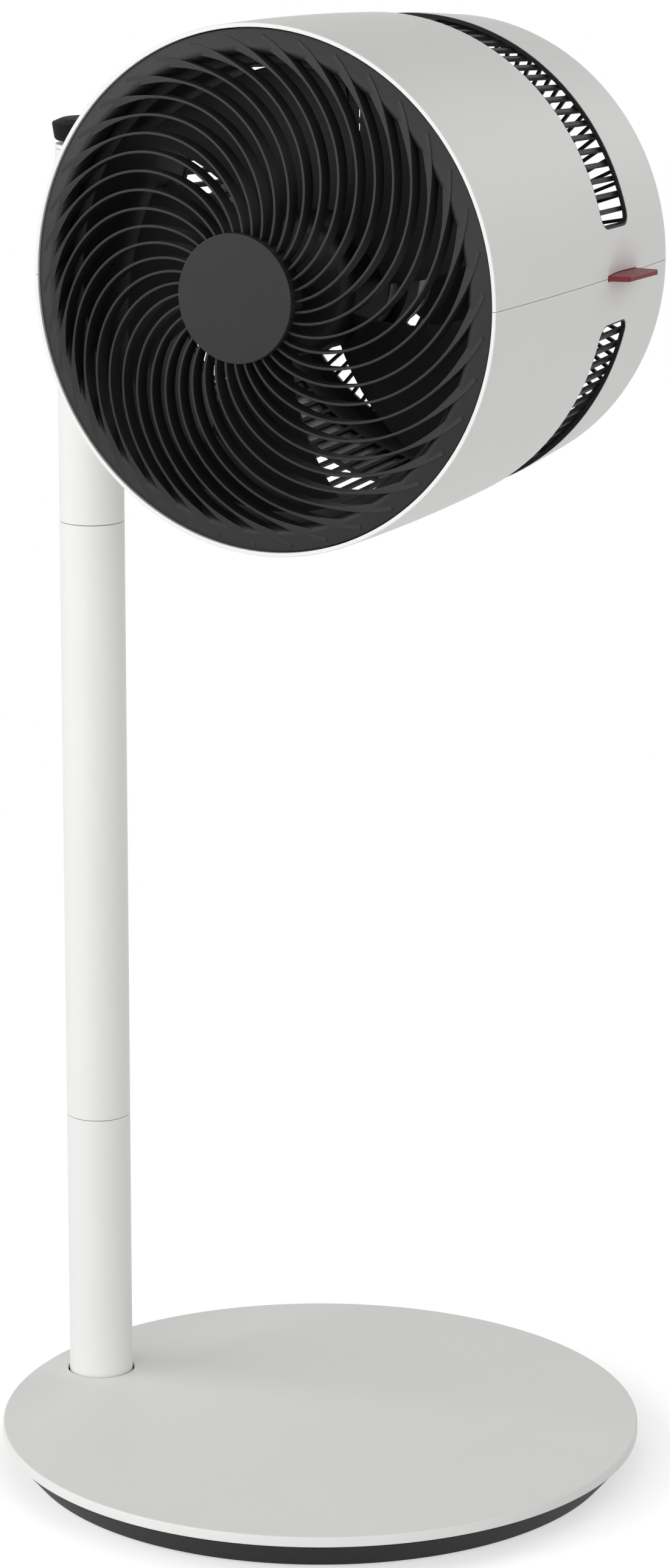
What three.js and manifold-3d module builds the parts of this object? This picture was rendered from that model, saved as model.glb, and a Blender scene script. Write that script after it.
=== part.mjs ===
// Air circulator fan on an offset pole.
//
// Frame: millimetres, +Z up, origin at the centre of the base on the floor.
// The fan blows towards -Y and the pole stands on the -X side of the base.
// Drum pieces are drawn in a head frame whose +Y runs from the front rim to the rear.

import * as THREE from 'three';
import { mergeVertices } from 'three/addons/utils/BufferGeometryUtils.js';
import Module from 'manifold-3d';

const wasm = await Module();
wasm.setup();

// ------------------------------------------------------------------ driving dimensions

const GAP = 0.3; // clearance between two pieces that seat on each other

// Facets of round pieces.
const BASE_FACETS = 40;
const DRUM_FACETS = 40;
const POLE_FACETS = 20;
const HUB_FACETS = 16;
const SMALL_FACETS = 8;

// Base.
const BASE_RADIUS = 164;
const BASE_HEIGHT = 21.4;
const BASE_RIM_HEIGHT = 5.4;
const BASE_EDGE_ROUND = 1.0;
const COVER_WALL = 2.5;
const TRAY_BOTTOM_RADIUS = BASE_RADIUS - 17;
const TRAY_FLOOR = 3.5;
const TRAY_WALL = 2.6;
const TRAY_LIP_HEIGHT = 2.2;
const FOOT_RING_RADIUS = BASE_RADIUS - 43;
const FOOT_RING_WIDTH = 9;
const FOOT_RING_HEIGHT = 1.5;
const WEIGHT_RADIUS = BASE_RADIUS - 37;
const WEIGHT_THICKNESS = 8;
const POST_CIRCLE_RADIUS = BASE_RADIUS - 26;
const POST_RADIUS = 4.6;
const POST_COUNT = 3;
const SCREW_RADIUS = 1.6;
const SCREW_LENGTH = 10;
const SCREW_HEAD_RADIUS = 3.6;
const SCREW_HEAD_HEIGHT = 1.7;
const BOARD_SIZE = { x: 62, y: 40, z: 1.6 };
const BOARD_OFFSET_Y = 70;
const INLET_WIDTH = 14;
const INLET_HEIGHT = 8.6;
const INLET_LENGTH = 17;
const INLET_BORE_RADIUS = 3.1;
const INLET_BORE_DEPTH = 11;
const INLET_PIN_RADIUS = 0.9;
const INLET_CENTRE_Z = 10;

// Pole.
const POLE_INSET = 29.5; // from the base's edge to the pole's axis
const POLE_X = POLE_INSET - BASE_RADIUS;
const POLE_RADIUS = 16.6;
const POLE_WALL = 2;
const POLE_FOOT_RECESS = 1.0;
const POLE_LOWER_SEAM = 163;
const POLE_SWIVEL_SEAM = 479;
const POLE_TOP = 668.6;
const SOCKET_FLANGE_RADIUS = 24;
const SOCKET_FLANGE_HEIGHT = 7;
const SOCKET_SPIGOT_LENGTH = 48;
const BOLT_RADIUS = 4;
const BOLT_LENGTH = 30;
const BOLT_HEAD_RADIUS = 7;
const BOLT_KEY_RADIUS = 2.6;
const BOLT_KEY_DEPTH = 1.0;
const SLEEVE_LENGTH = 60;
const SLEEVE_WALL = 2.2;
const SWIVEL_BUSH_LENGTH = 36;
const SWIVEL_BUSH_WALL = 3;
const SWIVEL_SPIGOT_WALL = 2.4;
const SWIVEL_SPIGOT_TOP = 34;
const POLE_CAP_HEIGHT = 2.2;
const POLE_CAP_PLUG = 14;

// Knob on the pole's top.
const KNOB_RADIUS_TOP = 18;
const KNOB_RADIUS_BOTTOM = 16.6;
const KNOB_SIDE_HEIGHT = 8.6;
const KNOB_CROWN = 3.4;
const KNOB_CROWN_RADIUS = 13;
const KNOB_BOTTOM_ROUND = 1.4;
const KNOB_WALL = 2.2;
const KNOB_BOSS_RADIUS = 6;
const KNOB_TRAVEL = 1.2;
const KNOB_SHAFT_RADIUS = 2.9;
const ENCODER_RADIUS = 8;
const ENCODER_HEIGHT = 13;
const ENCODER_WALL = 1.4;
const ROTOR_RADIUS = 5.6;
const ROTOR_HEIGHT = 6;

// Drum: the head of the fan.
const POLE_DRUM_GAP = 4.9; // between the pole and the drum's side
const DRUM_AXIS_Z = 616.2;
const DRUM_FRONT_Y = -80;
const DRUM_RADIUS = 127.4;
const DRUM_LENGTH = 206.5;
const DRUM_BARREL_RADIUS = 1770;
const DRUM_REAR_ROUND = 11; // length of the rounded rear edge
const DRUM_REAR_INSET = 5.5; // how far the rounded rear edge comes in
const SHELL_WALL = 2.1;
const SHELL_SEAM = 0.3;
const REAR_OPENING_RADIUS = DRUM_RADIUS - 18.3;
const SLOT_START = 122;
const SLOT_WIDTH = 33.5;
const SLOT_END_ANGLE = 11;
const SLOT_CORNER = 7;

// Front grille.
const GRILLE_DOME = 20;
const GRILLE_RIM_GAP = 0.5;
const GRILLE_BAND_WIDTH = 7.3;
const GRILLE_SKIN = 2.4;
const GRILLE_DEPTH = 11.7;
const RIB_COUNT = 38;
const RIB_SWEEP = 67;
const RIB_CURL = 1.35;
const RIB_SWAY = 1; // degrees by which a rib wavers from that curl
const RIB_TURN = 0.5;
const RIB_WIDTH = 1.5;
const RIB_FLARE = 2.2;
const RIB_FLARE_LENGTH = 14;
const RIB_DEPTH = 8.5;
const RIB_SINK = 0.2; // how far a rib's front lies under the band and hub that it joins
const RIB_STEPS = 5;
const GRILLE_HUB_RADIUS = 30;
const GRILLE_HUB_WALL = 6;
const GRILLE_CAP_RADIUS = 31;
const GRILLE_CAP_HEIGHT = 2.2;
const GRILLE_CAP_PLUG = 6;

// Air duct inside the drum.
const DUCT_RADIUS = DRUM_RADIUS - 20.4;
const DUCT_WALL = 2.5;
const DUCT_START = 12;
const DUCT_FLANGE = 2;
const DUCT_END = 114.7;
const DUCT_MOUTH = 5;

// Impeller and motor.
const SHAFT_RADIUS = 4;
const SHAFT_START = 24;
const IMPELLER_START = 28;
const IMPELLER_HUB_RADIUS = 34;
const IMPELLER_HUB_LENGTH = 38;
const IMPELLER_HUB_WALL = 2.6;
const IMPELLER_TIP_GAP = 2.5;
const BLADE_COUNT = 5;
const BLADE_HALF_ANGLE = -27;
const BLADE_SWEEP = 16;
const BLADE_HALF_DEPTH_ROOT = 14;
const BLADE_HALF_DEPTH_TIP = 18;
const BLADE_CAMBER = 4;
const BLADE_THICKNESS = 2.2;
const BLADE_PHASE = 32;
const NUT_RADIUS = 8;
const NUT_LENGTH = 6;
const MOTOR_START = 70;
const MOTOR_RADIUS = 32;
const MOTOR_LENGTH = 42;
const MOTOR_COVER_THICKNESS = 3.4;
const BEARING_RADIUS = 9;
const BEARING_WIDTH = 6;
const SPIDER_OFFSET = 12;
const SPIDER_DEPTH = 12;
const SPIDER_RING_WALL = 3.6;
const SPIDER_ARM_COUNT = 5;
const SPIDER_ARM_WIDTH = 3.4;

// Rear cage.
const CAGE_GAP = 1;
const CAGE_WALL = 2.2;
const CAGE_COLUMNS = 28;
const CAGE_BAR_WIDTH = 2.6;
const CAGE_SIDE_WINDOW = { start: 119.5, end: 160 };
const CAGE_REAR_RADIUS = REAR_OPENING_RADIUS - 0.6;
const CAGE_REAR_EDGE = 201.5;
const CAGE_REAR_DOME = 2.6;
const CAGE_REAR_WINDOW = { start: CAGE_REAR_RADIUS - 5.4, end: 44 };

// Tilt pivot between the pole and the drum.
const PIVOT_T = 80;
const AXLE_RADIUS = 7;
const AXLE_THREAD_RADIUS = 5;
const AXLE_TAIL = 11.5;
const PIVOT_BLOCK_HEIGHT = 30;
const COLLAR_RADIUS = 12;
const COLLAR_REACH = 2.1;
const BRACKET_WIDTH = 40;
const BRACKET_HEIGHT = 28;
const BRACKET_PLATE = 4.6;
const BRACKET_LEG = 5;
const WASHER_RADIUS = 11;
const WASHER_THICKNESS = 1;
const TILT_NUT_RADIUS = 8.6;
const TILT_NUT_THICKNESS = 4.2;

// Fragrance tray with its red pull tab.
const TRAY_START = 124.2;
const TRAY_WIDTH = 35;
const TRAY_THICKNESS = 2.5;
const TRAY_DEPTH = 21;
const TAB_REACH = 11.3;
const TAB_SLANT = 3.6; // how far the tab's front edge runs back on its way out
const TAB_CORNER = 1.2;
const PAD_MARGIN = 5;
const PAD_DEPTH = 12;
const GUIDE_WALL = 1.6;
const GUIDE_DEPTH = 20;

// ------------------------------------------------------------------ finishes

const finish = (color, roughness, metalness = 0) =>
  new THREE.MeshStandardMaterial({ color, roughness, metalness, flatShading: true });

const whiteShell = finish('#f1f1ef', 0.45);
const blackPlastic = finish('#262626', 0.55);
const greyPlastic = finish('#6f7173', 0.5);
const redPlastic = finish('#a5243c', 0.35);
const steel = finish('#b7b9bb', 0.3, 1);
const castWeight = finish('#55575a', 0.6, 1);
const zinc = finish('#9da0a3', 0.4, 1);
const rubber = finish('#1d1d1d', 0.9);
const felt = finish('#ebe9e2', 1);
const circuitBoard = finish('#2f6b45', 0.6);
const motorCan = finish('#8b8e91', 0.4, 1);

// ------------------------------------------------------------------ shape helpers

/** Turns a profile of [radius, height] points round one axis into a closed solid. */
function revolve(axis, profile, facets) {
  const points = profile.map(([radius, height]) => new THREE.Vector2(radius, height));
  const onAxis = points[0].x === 0 && points.at(-1).x === 0;
  if (!onAxis) points.push(points[0].clone());
  if (THREE.ShapeUtils.area(points) < 0) points.reverse();
  const geometry = new THREE.LatheGeometry(points, facets);
  if (axis === 'z') geometry.rotateX(Math.PI / 2);
  if (axis === 'x') geometry.rotateZ(-Math.PI / 2);
  return geometry;
}

/** A ring with a rectangular section, or a plain disc when the inner radius is 0. */
function ring(axis, outer, inner, from, to, facets) {
  return revolve(axis, [[inner, from], [outer, from], [outer, to], [inner, to]], facets);
}

/** A six-sided nut with a round bore. */
function hexNut(axis, radius, bore, from, to) {
  return cut(ring(axis, radius, 0, from, to, 6), ring(axis, bore, 0, from - 1, to + 1, SMALL_FACETS * 2));
}

/** A box given by its two opposite corners. */
function block(low, high) {
  const size = high.map((value, i) => value - low[i]);
  const geometry = new THREE.BoxGeometry(...size);
  return geometry.translate(...low.map((value, i) => value + size[i] / 2));
}

/** A closed geometry made from vertices and triangles that share them. */
function indexed(vertices, triangles) {
  const geometry = new THREE.BufferGeometry();
  geometry.setAttribute('position', new THREE.Float32BufferAttribute(vertices.flat(), 3));
  geometry.setIndex(triangles.flat());
  return geometry;
}

/** Merges shared vertices and drops the empty triangles at the poles of a lathe. */
function welded(source) {
  const bare = new THREE.BufferGeometry();
  bare.setAttribute('position', source.getAttribute('position').clone());
  if (source.index) bare.setIndex(source.index.clone());
  const merged = mergeVertices(bare, 1e-4);
  const kept = [];
  const index = merged.index.array;
  for (let i = 0; i < index.length; i += 3) {
    const [a, b, c] = [index[i], index[i + 1], index[i + 2]];
    if (a !== b && b !== c && c !== a) kept.push(a, b, c);
  }
  merged.setIndex(kept);
  return merged;
}

function toSolid(source) {
  const geometry = welded(source);
  return new wasm.Manifold(new wasm.Mesh({
    numProp: 3,
    vertProperties: new Float32Array(geometry.getAttribute('position').array),
    triVerts: new Uint32Array(geometry.index.array),
  }));
}

function toGeometry(solid) {
  const mesh = solid.getMesh();
  const geometry = new THREE.BufferGeometry();
  geometry.setAttribute('position', new THREE.BufferAttribute(mesh.vertProperties, 3));
  geometry.setIndex(new THREE.BufferAttribute(mesh.triVerts, 1));
  return geometry;
}

const join = (...parts) => toGeometry(parts.map(toSolid).reduce((sum, next) => sum.add(next)));
const cut = (body, ...tools) =>
  toGeometry(tools.map(toSolid).reduce((rest, tool) => rest.subtract(tool), toSolid(body)));
const keep = (body, region) => toGeometry(toSolid(body).intersect(toSolid(region)));

/** A named piece with its finish. */
function piece(name, geometry, material) {
  const mesh = new THREE.Mesh(welded(geometry), material);
  mesh.name = name;
  mesh.geometry.computeVertexNormals();
  return mesh;
}

/** A group placed in its parent, holding its pieces. */
function assembly(position, ...children) {
  const group = new THREE.Group();
  group.position.set(...position);
  group.add(...children);
  return group;
}

const radians = THREE.MathUtils.degToRad;
const mix = THREE.MathUtils.lerp;

// ------------------------------------------------------------------ base

const rimBottom = BASE_HEIGHT - BASE_RIM_HEIGHT;
const ceiling = BASE_HEIGHT - COVER_WALL;
const coverInner = BASE_RADIUS - COVER_WALL;
const floorTop = FOOT_RING_HEIGHT + TRAY_FLOOR;
const insideFloor = floorTop + GAP; // height at which loose pieces lie in the base
const trayTopRadius = coverInner - GAP;
const weightTop = insideFloor + WEIGHT_THICKNESS;
const flangeTop = insideFloor + SOCKET_FLANGE_HEIGHT;

const postPlaces = Array.from({ length: POST_COUNT }, (_, i) => {
  const angle = radians(360 * i / POST_COUNT);
  return [POST_CIRCLE_RADIUS * Math.cos(angle), POST_CIRCLE_RADIUS * Math.sin(angle)];
});

/** Thin lid whose rim is the bright edge of the base. */
function baseCover() {
  const edge = BASE_EDGE_ROUND;
  const lid = revolve('z', [
    [0, ceiling],
    [coverInner, ceiling],
    [coverInner, rimBottom],
    [BASE_RADIUS - edge, rimBottom],
    [BASE_RADIUS, rimBottom + edge],
    [BASE_RADIUS, BASE_HEIGHT - edge],
    [BASE_RADIUS - edge * 0.3, BASE_HEIGHT - edge * 0.3],
    [BASE_RADIUS - edge, BASE_HEIGHT],
    [0, BASE_HEIGHT],
  ], BASE_FACETS);
  const posts = postPlaces.map(([x, y]) =>
    ring('z', POST_RADIUS, 0, insideFloor, ceiling + COVER_WALL / 2, SMALL_FACETS).translate(x, y, 0));
  const bores = postPlaces.map(([x, y]) => {
    const depth = SCREW_LENGTH + GAP;
    return ring('z', SCREW_RADIUS + GAP, 0, insideFloor - 1, floorTop + depth, SMALL_FACETS).translate(x, y, 0);
  });
  const poleHole = ring('z', POLE_RADIUS + POLE_FOOT_RECESS, 0, 0, BASE_HEIGHT + 1, POLE_FACETS);
  return cut(join(lid, ...posts), ...bores, poleHole.translate(POLE_X, 0, 0));
}

/** Outline of the space inside the tray, drawn in by a clearance. */
function trayCavity(clearance) {
  const inset = TRAY_WALL + clearance;
  return [
    [0, floorTop + clearance],
    [TRAY_BOTTOM_RADIUS - inset + TRAY_FLOOR, floorTop + clearance],
    [trayTopRadius - inset, rimBottom],
    [trayTopRadius - inset, BASE_HEIGHT * 4],
    [0, BASE_HEIGHT * 4],
  ];
}

/** Dark lower shell: a tapered skirt that plugs into the cover. */
function baseTray() {
  const outside = revolve('z', [
    [0, FOOT_RING_HEIGHT],
    [TRAY_BOTTOM_RADIUS, FOOT_RING_HEIGHT],
    [trayTopRadius, rimBottom - GAP],
    [trayTopRadius, rimBottom + TRAY_LIP_HEIGHT],
    [0, rimBottom + TRAY_LIP_HEIGHT],
  ], BASE_FACETS);
  const recess = FOOT_RING_HEIGHT + SCREW_HEAD_HEIGHT + 2 * GAP;
  const screwHoles = postPlaces.flatMap(([x, y]) => [
    ring('z', SCREW_RADIUS + GAP, 0, 0, BASE_HEIGHT, SMALL_FACETS).translate(x, y, 0),
    ring('z', SCREW_HEAD_RADIUS + GAP, 0, 0, recess, SMALL_FACETS).translate(x, y, 0),
  ]);
  const boltHoles = [
    ring('z', BOLT_RADIUS + GAP, 0, 0, BASE_HEIGHT, SMALL_FACETS).translate(POLE_X, 0, 0),
    ring('z', BOLT_HEAD_RADIUS + GAP, 0, 0, recess, SMALL_FACETS).translate(POLE_X, 0, 0),
  ];
  return cut(
    outside, revolve('z', trayCavity(0), BASE_FACETS), ...screwHoles, ...boltHoles, inletSpace(GAP));
}

/** Space that the power inlet takes in the back of the skirt. */
function inletSpace(clearance) {
  const back = BASE_RADIUS * 2;
  return block(
    [-INLET_WIDTH / 2 - clearance, inletFront - clearance, INLET_CENTRE_Z - INLET_HEIGHT / 2 - clearance],
    [INLET_WIDTH / 2 + clearance, back, INLET_CENTRE_Z + INLET_HEIGHT / 2 + clearance]);
}

const skirtSlope = (trayTopRadius - TRAY_BOTTOM_RADIUS) / (rimBottom - GAP - FOOT_RING_HEIGHT);
const skirtRadius = (z) => TRAY_BOTTOM_RADIUS + skirtSlope * (z - FOOT_RING_HEIGHT);
const inletBack = skirtRadius(INLET_CENTRE_Z - INLET_HEIGHT / 2);
const inletFront = inletBack - INLET_LENGTH;

/** Low-voltage socket: a small block with a round bore and its centre pin. */
function powerInlet() {
  const body = block(
    [-INLET_WIDTH / 2, inletFront, INLET_CENTRE_Z - INLET_HEIGHT / 2],
    [INLET_WIDTH / 2, inletBack, INLET_CENTRE_Z + INLET_HEIGHT / 2]);
  const bore = ring('y', INLET_BORE_RADIUS, 0, inletBack - INLET_BORE_DEPTH, inletBack + 1, SMALL_FACETS);
  const pin = ring('y', INLET_PIN_RADIUS, 0, inletBack - INLET_BORE_DEPTH - 1, inletBack - 2, SMALL_FACETS);
  return join(cut(body, bore.translate(0, 0, INLET_CENTRE_Z)), pin.translate(0, 0, INLET_CENTRE_Z));
}

function baseWeight() {
  const disc = ring('z', WEIGHT_RADIUS, 0, insideFloor, weightTop, BASE_FACETS);
  const notch = ring('z', SOCKET_FLANGE_RADIUS + GAP, 0, 0, BASE_HEIGHT, POLE_FACETS);
  return cut(disc, notch.translate(POLE_X, 0, 0));
}

/** Flange under the cover with the spigot that carries the pole. */
function poleSocket() {
  const spigot = POLE_RADIUS - POLE_WALL - GAP;
  const top = flangeTop + SOCKET_SPIGOT_LENGTH;
  const turned = revolve('z', [
    [BOLT_RADIUS + GAP, insideFloor],
    [SOCKET_FLANGE_RADIUS, insideFloor],
    [SOCKET_FLANGE_RADIUS, flangeTop],
    [spigot, flangeTop],
    [spigot, top - 1.5],
    [spigot - 1.5, top],
    [BOLT_RADIUS + GAP, top],
  ], POLE_FACETS).translate(POLE_X, 0, 0);
  const room = revolve('z', trayCavity(GAP), BASE_FACETS);
  return keep(turned, room);
}

function poleBolt() {
  const headBottom = FOOT_RING_HEIGHT + GAP;
  const headTop = headBottom + SCREW_HEAD_HEIGHT;
  return revolve('z', [
    [0, headBottom + BOLT_KEY_DEPTH],
    [BOLT_KEY_RADIUS, headBottom + BOLT_KEY_DEPTH],
    [BOLT_KEY_RADIUS, headBottom],
    [BOLT_HEAD_RADIUS, headBottom],
    [BOLT_HEAD_RADIUS, headTop],
    [BOLT_RADIUS, headTop],
    [BOLT_RADIUS, headTop + BOLT_LENGTH],
    [0, headTop + BOLT_LENGTH],
  ], SMALL_FACETS);
}

function baseScrew() {
  const headBottom = FOOT_RING_HEIGHT + GAP;
  const headTop = headBottom + SCREW_HEAD_HEIGHT;
  return revolve('z', [
    [0, headBottom],
    [SCREW_HEAD_RADIUS, headBottom],
    [SCREW_HEAD_RADIUS, headTop],
    [SCREW_RADIUS, headTop],
    [SCREW_RADIUS, headTop + SCREW_LENGTH],
    [0, headTop + SCREW_LENGTH],
  ], SMALL_FACETS);
}

function footRing() {
  const half = FOOT_RING_WIDTH / 2;
  return ring('z', FOOT_RING_RADIUS + half, FOOT_RING_RADIUS - half, 0, FOOT_RING_HEIGHT - GAP, BASE_FACETS);
}

function controlBoard() {
  const low = [-BOARD_SIZE.x / 2, BOARD_OFFSET_Y - BOARD_SIZE.y / 2, weightTop + GAP];
  return block(low, [BOARD_SIZE.x / 2, BOARD_OFFSET_Y + BOARD_SIZE.y / 2, low[2] + BOARD_SIZE.z]);
}

// ------------------------------------------------------------------ pole, drawn round its own axis

const poleBore = POLE_RADIUS - POLE_WALL;
const plugRadius = poleBore - GAP; // outside of whatever slides into the tubes
const spigotRadius = plugRadius - SWIVEL_BUSH_WALL - GAP;

const poleTube = (from, to) => ring('z', POLE_RADIUS, poleBore, from, to, POLE_FACETS);
const poleLower = () => poleTube(flangeTop + GAP, POLE_LOWER_SEAM - GAP / 2);
const poleMiddle = () => poleTube(POLE_LOWER_SEAM + GAP / 2, POLE_SWIVEL_SEAM - GAP / 2);

function jointSleeve() {
  const half = SLEEVE_LENGTH / 2;
  return ring('z', plugRadius, plugRadius - SLEEVE_WALL, POLE_LOWER_SEAM - half, POLE_LOWER_SEAM + half, POLE_FACETS);
}

function swivelBush() {
  const top = POLE_SWIVEL_SEAM - GAP / 2;
  return ring('z', plugRadius, plugRadius - SWIVEL_BUSH_WALL, top - SWIVEL_BUSH_LENGTH, top, POLE_FACETS);
}

/** Stepped tube: its thin end turns in the bush and its shoulder plugs the upper tube. */
function swivelSpigot() {
  const bottom = POLE_SWIVEL_SEAM - GAP / 2 - SWIVEL_BUSH_LENGTH + 2;
  const shoulder = POLE_SWIVEL_SEAM + GAP / 2;
  const top = shoulder + SWIVEL_SPIGOT_TOP;
  const bore = spigotRadius - SWIVEL_SPIGOT_WALL;
  return revolve('z', [
    [bore, bottom],
    [spigotRadius, bottom],
    [spigotRadius, shoulder],
    [plugRadius, shoulder],
    [plugRadius, top],
    [bore, top],
  ], POLE_FACETS);
}

function poleUpper() {
  const tube = poleTube(POLE_SWIVEL_SEAM + GAP / 2, POLE_TOP);
  const bore = ring('x', AXLE_RADIUS + GAP, 0, 0, POLE_RADIUS * 2, HUB_FACETS);
  return cut(tube, bore.translate(0, 0, DRUM_AXIS_Z));
}

const capBottom = POLE_TOP + GAP;
const capTop = capBottom + POLE_CAP_HEIGHT;
const knobBottom = capTop + KNOB_TRAVEL + 0.4;

/** White plug that closes the pole under the knob. */
function poleCap() {
  const bore = KNOB_SHAFT_RADIUS + GAP;
  return revolve('z', [
    [bore, capBottom - GAP - 2],
    [ENCODER_RADIUS + GAP, capBottom - GAP - 2],
    [ENCODER_RADIUS + GAP, POLE_TOP - POLE_CAP_PLUG],
    [plugRadius, POLE_TOP - POLE_CAP_PLUG],
    [plugRadius, capBottom],
    [POLE_RADIUS, capBottom],
    [POLE_RADIUS, capTop - 0.5],
    [POLE_RADIUS - 0.5, capTop],
    [bore, capTop],
  ], POLE_FACETS);
}

const encoderTop = capBottom - GAP - 2 - GAP;
const encoderBottom = encoderTop - ENCODER_HEIGHT;
const rotorBottom = encoderBottom + ENCODER_WALL + KNOB_TRAVEL + GAP;

/** Cup of the rotary encoder under the cap. */
function encoderBody() {
  const cavity = ROTOR_RADIUS + 2 * GAP;
  return revolve('z', [
    [0, encoderBottom],
    [ENCODER_RADIUS, encoderBottom],
    [ENCODER_RADIUS, encoderTop],
    [KNOB_SHAFT_RADIUS + GAP, encoderTop],
    [KNOB_SHAFT_RADIUS + GAP, encoderTop - ENCODER_WALL],
    [cavity, encoderTop - ENCODER_WALL],
    [cavity, rotorBottom - GAP],
    [KNOB_SHAFT_RADIUS + GAP, rotorBottom - GAP],
    [KNOB_SHAFT_RADIUS + GAP, encoderBottom + ENCODER_WALL],
    [0, encoderBottom + ENCODER_WALL],
  ], SMALL_FACETS);
}

const encoderRotor = () =>
  ring('z', ROTOR_RADIUS, KNOB_SHAFT_RADIUS + GAP, rotorBottom, rotorBottom + ROTOR_HEIGHT, SMALL_FACETS);

const knobShaft = () =>
  ring('z', KNOB_SHAFT_RADIUS, 0, encoderBottom + ENCODER_WALL + KNOB_TRAVEL + GAP,
    knobBottom + KNOB_SIDE_HEIGHT - KNOB_WALL, SMALL_FACETS);

/** Hollow knob: flared side, crowned top, and a boss that grips the shaft. */
function knob() {
  const side = knobBottom + KNOB_SIDE_HEIGHT;
  const top = side + KNOB_CROWN;
  const inner = KNOB_RADIUS_BOTTOM - KNOB_WALL;
  const grip = KNOB_SHAFT_RADIUS + GAP;
  const round = KNOB_BOTTOM_ROUND;
  return revolve('z', [
    [0, top],
    [KNOB_CROWN_RADIUS, top - 0.9],
    [KNOB_RADIUS_TOP - 0.9, side + 0.8],
    [KNOB_RADIUS_TOP, side - 0.3],
    [KNOB_RADIUS_BOTTOM, knobBottom + round],
    [KNOB_RADIUS_BOTTOM - round, knobBottom],
    [inner, knobBottom],
    [inner, side - KNOB_WALL],
    [KNOB_BOSS_RADIUS, side - KNOB_WALL],
    [KNOB_BOSS_RADIUS, knobBottom + KNOB_TRAVEL],
    [grip, knobBottom + KNOB_TRAVEL],
    [grip, side - KNOB_WALL + GAP],
    [0, side - KNOB_WALL + GAP],
  ], POLE_FACETS);
}

// ------------------------------------------------------------------ drum shells, in the head frame

const barrelEnd = DRUM_LENGTH - DRUM_REAR_ROUND;
const BARREL_STEPS = 3;
const barrelPlaces = Array.from({ length: BARREL_STEPS + 1 }, (_, i) => barrelEnd * i / BARREL_STEPS);
const trueBarrel = (t) => DRUM_RADIUS - (t * t) / (2 * DRUM_BARREL_RADIUS);
const DRUM_X = POLE_X + POLE_RADIUS + POLE_DRUM_GAP + trueBarrel(PIVOT_T);

/** Outer radius of the faceted barrel at a distance behind the front rim. */
function barrelRadius(t) {
  const step = barrelEnd / BARREL_STEPS;
  const i = Math.min(Math.floor(t / step), BARREL_STEPS - 1);
  return mix(trueBarrel(i * step), trueBarrel((i + 1) * step), (t - i * step) / step);
}
const shellInner = (t) => barrelRadius(t) - SHELL_WALL;

/** Gently barrelled tube with a rounded rear edge and an inward lip. */
function barrel() {
  const edge = barrelRadius(barrelEnd);
  const corner = (depth, steps) => Array.from({ length: steps }, (_, i) => {
    const angle = (Math.PI / 2) * (i + 1) / steps;
    const across = (DRUM_REAR_INSET - depth) * Math.cos(angle);
    return [edge - DRUM_REAR_INSET + across, barrelEnd + (DRUM_REAR_ROUND - depth) * Math.sin(angle)];
  });
  return revolve('y', [
    ...barrelPlaces.map((t) => [barrelRadius(t), t]),
    ...corner(0, 3),
    [REAR_OPENING_RADIUS, DRUM_LENGTH],
    [REAR_OPENING_RADIUS, DRUM_LENGTH - SHELL_WALL],
    ...corner(SHELL_WALL, 2).reverse(),
    ...barrelPlaces.toReversed().map((t) => [shellInner(t), t]),
  ], DRUM_FACETS);
}

/** Cutter for a vent: a band round the drum whose two ends have rounded corners. */
function slotCutter(fromDegrees, toDegrees) {
  const radius = trueBarrel(SLOT_START);
  const cornerSteps = 4;
  const ends = Array.from({ length: cornerSteps + 1 }, (_, i) => {
    const along = SLOT_CORNER * (1 - Math.cos((Math.PI / 2) * i / cornerSteps));
    const inset = SLOT_CORNER * (1 - Math.sin((Math.PI / 2) * i / cornerSteps));
    return { angle: THREE.MathUtils.radToDeg(along / radius), inset };
  });
  const first = fromDegrees + ends.at(-1).angle;
  const last = toDegrees - ends.at(-1).angle;
  const middleSteps = 10;
  const middle = Array.from({ length: middleSteps - 1 }, (_, i) =>
    ({ angle: mix(first, last, (i + 1) / middleSteps), inset: 0 }));
  const stations = [
    ...ends.map(({ angle, inset }) => ({ angle: fromDegrees + angle, inset })),
    ...middle,
    ...ends.toReversed().map(({ angle, inset }) => ({ angle: toDegrees - angle, inset })),
  ];
  const sections = stations.map(({ angle, inset }) => {
    const [low, high] = [SLOT_START + inset, SLOT_START + SLOT_WIDTH - inset];
    const [inner, outer] = [radius - 4 * SHELL_WALL, DRUM_RADIUS + 4 * SHELL_WALL];
    return [[inner, low], [outer, low], [outer, high], [inner, high]]
      .map(([r, t]) => [r * Math.cos(radians(angle)), t, r * Math.sin(radians(angle))]);
  });
  return loft(sections);
}

/** Joins equal sections, given as loops of points, into a closed tube with flat ends. */
function loft(sections) {
  const sides = sections[0].length;
  const triangles = [];
  for (let i = 0; i < sections.length - 1; i += 1) {
    for (let k = 0; k < sides; k += 1) {
      const [a, b] = [i * sides + k, i * sides + (k + 1) % sides];
      triangles.push([a, b, b + sides], [a, b + sides, a + sides]);
    }
  }
  const last = (sections.length - 1) * sides;
  for (let k = 1; k < sides - 1; k += 1) {
    triangles.push([0, k + 1, k], [last, last + k, last + k + 1]);
  }
  return outward(indexed(sections.flat(), triangles));
}

/** Turns a closed geometry's faces outward, whichever way they were listed. */
function outward(geometry) {
  const p = geometry.getAttribute('position');
  const index = geometry.index.array;
  const [a, b, c] = [new THREE.Vector3(), new THREE.Vector3(), new THREE.Vector3()];
  let volume = 0;
  for (let i = 0; i < index.length; i += 3) {
    a.fromBufferAttribute(p, index[i]);
    b.fromBufferAttribute(p, index[i + 1]);
    c.fromBufferAttribute(p, index[i + 2]);
    volume += a.dot(b.cross(c));
  }
  if (volume < 0) {
    for (let i = 0; i < index.length; i += 3) [index[i], index[i + 1]] = [index[i + 1], index[i]];
  }
  return geometry;
}

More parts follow.
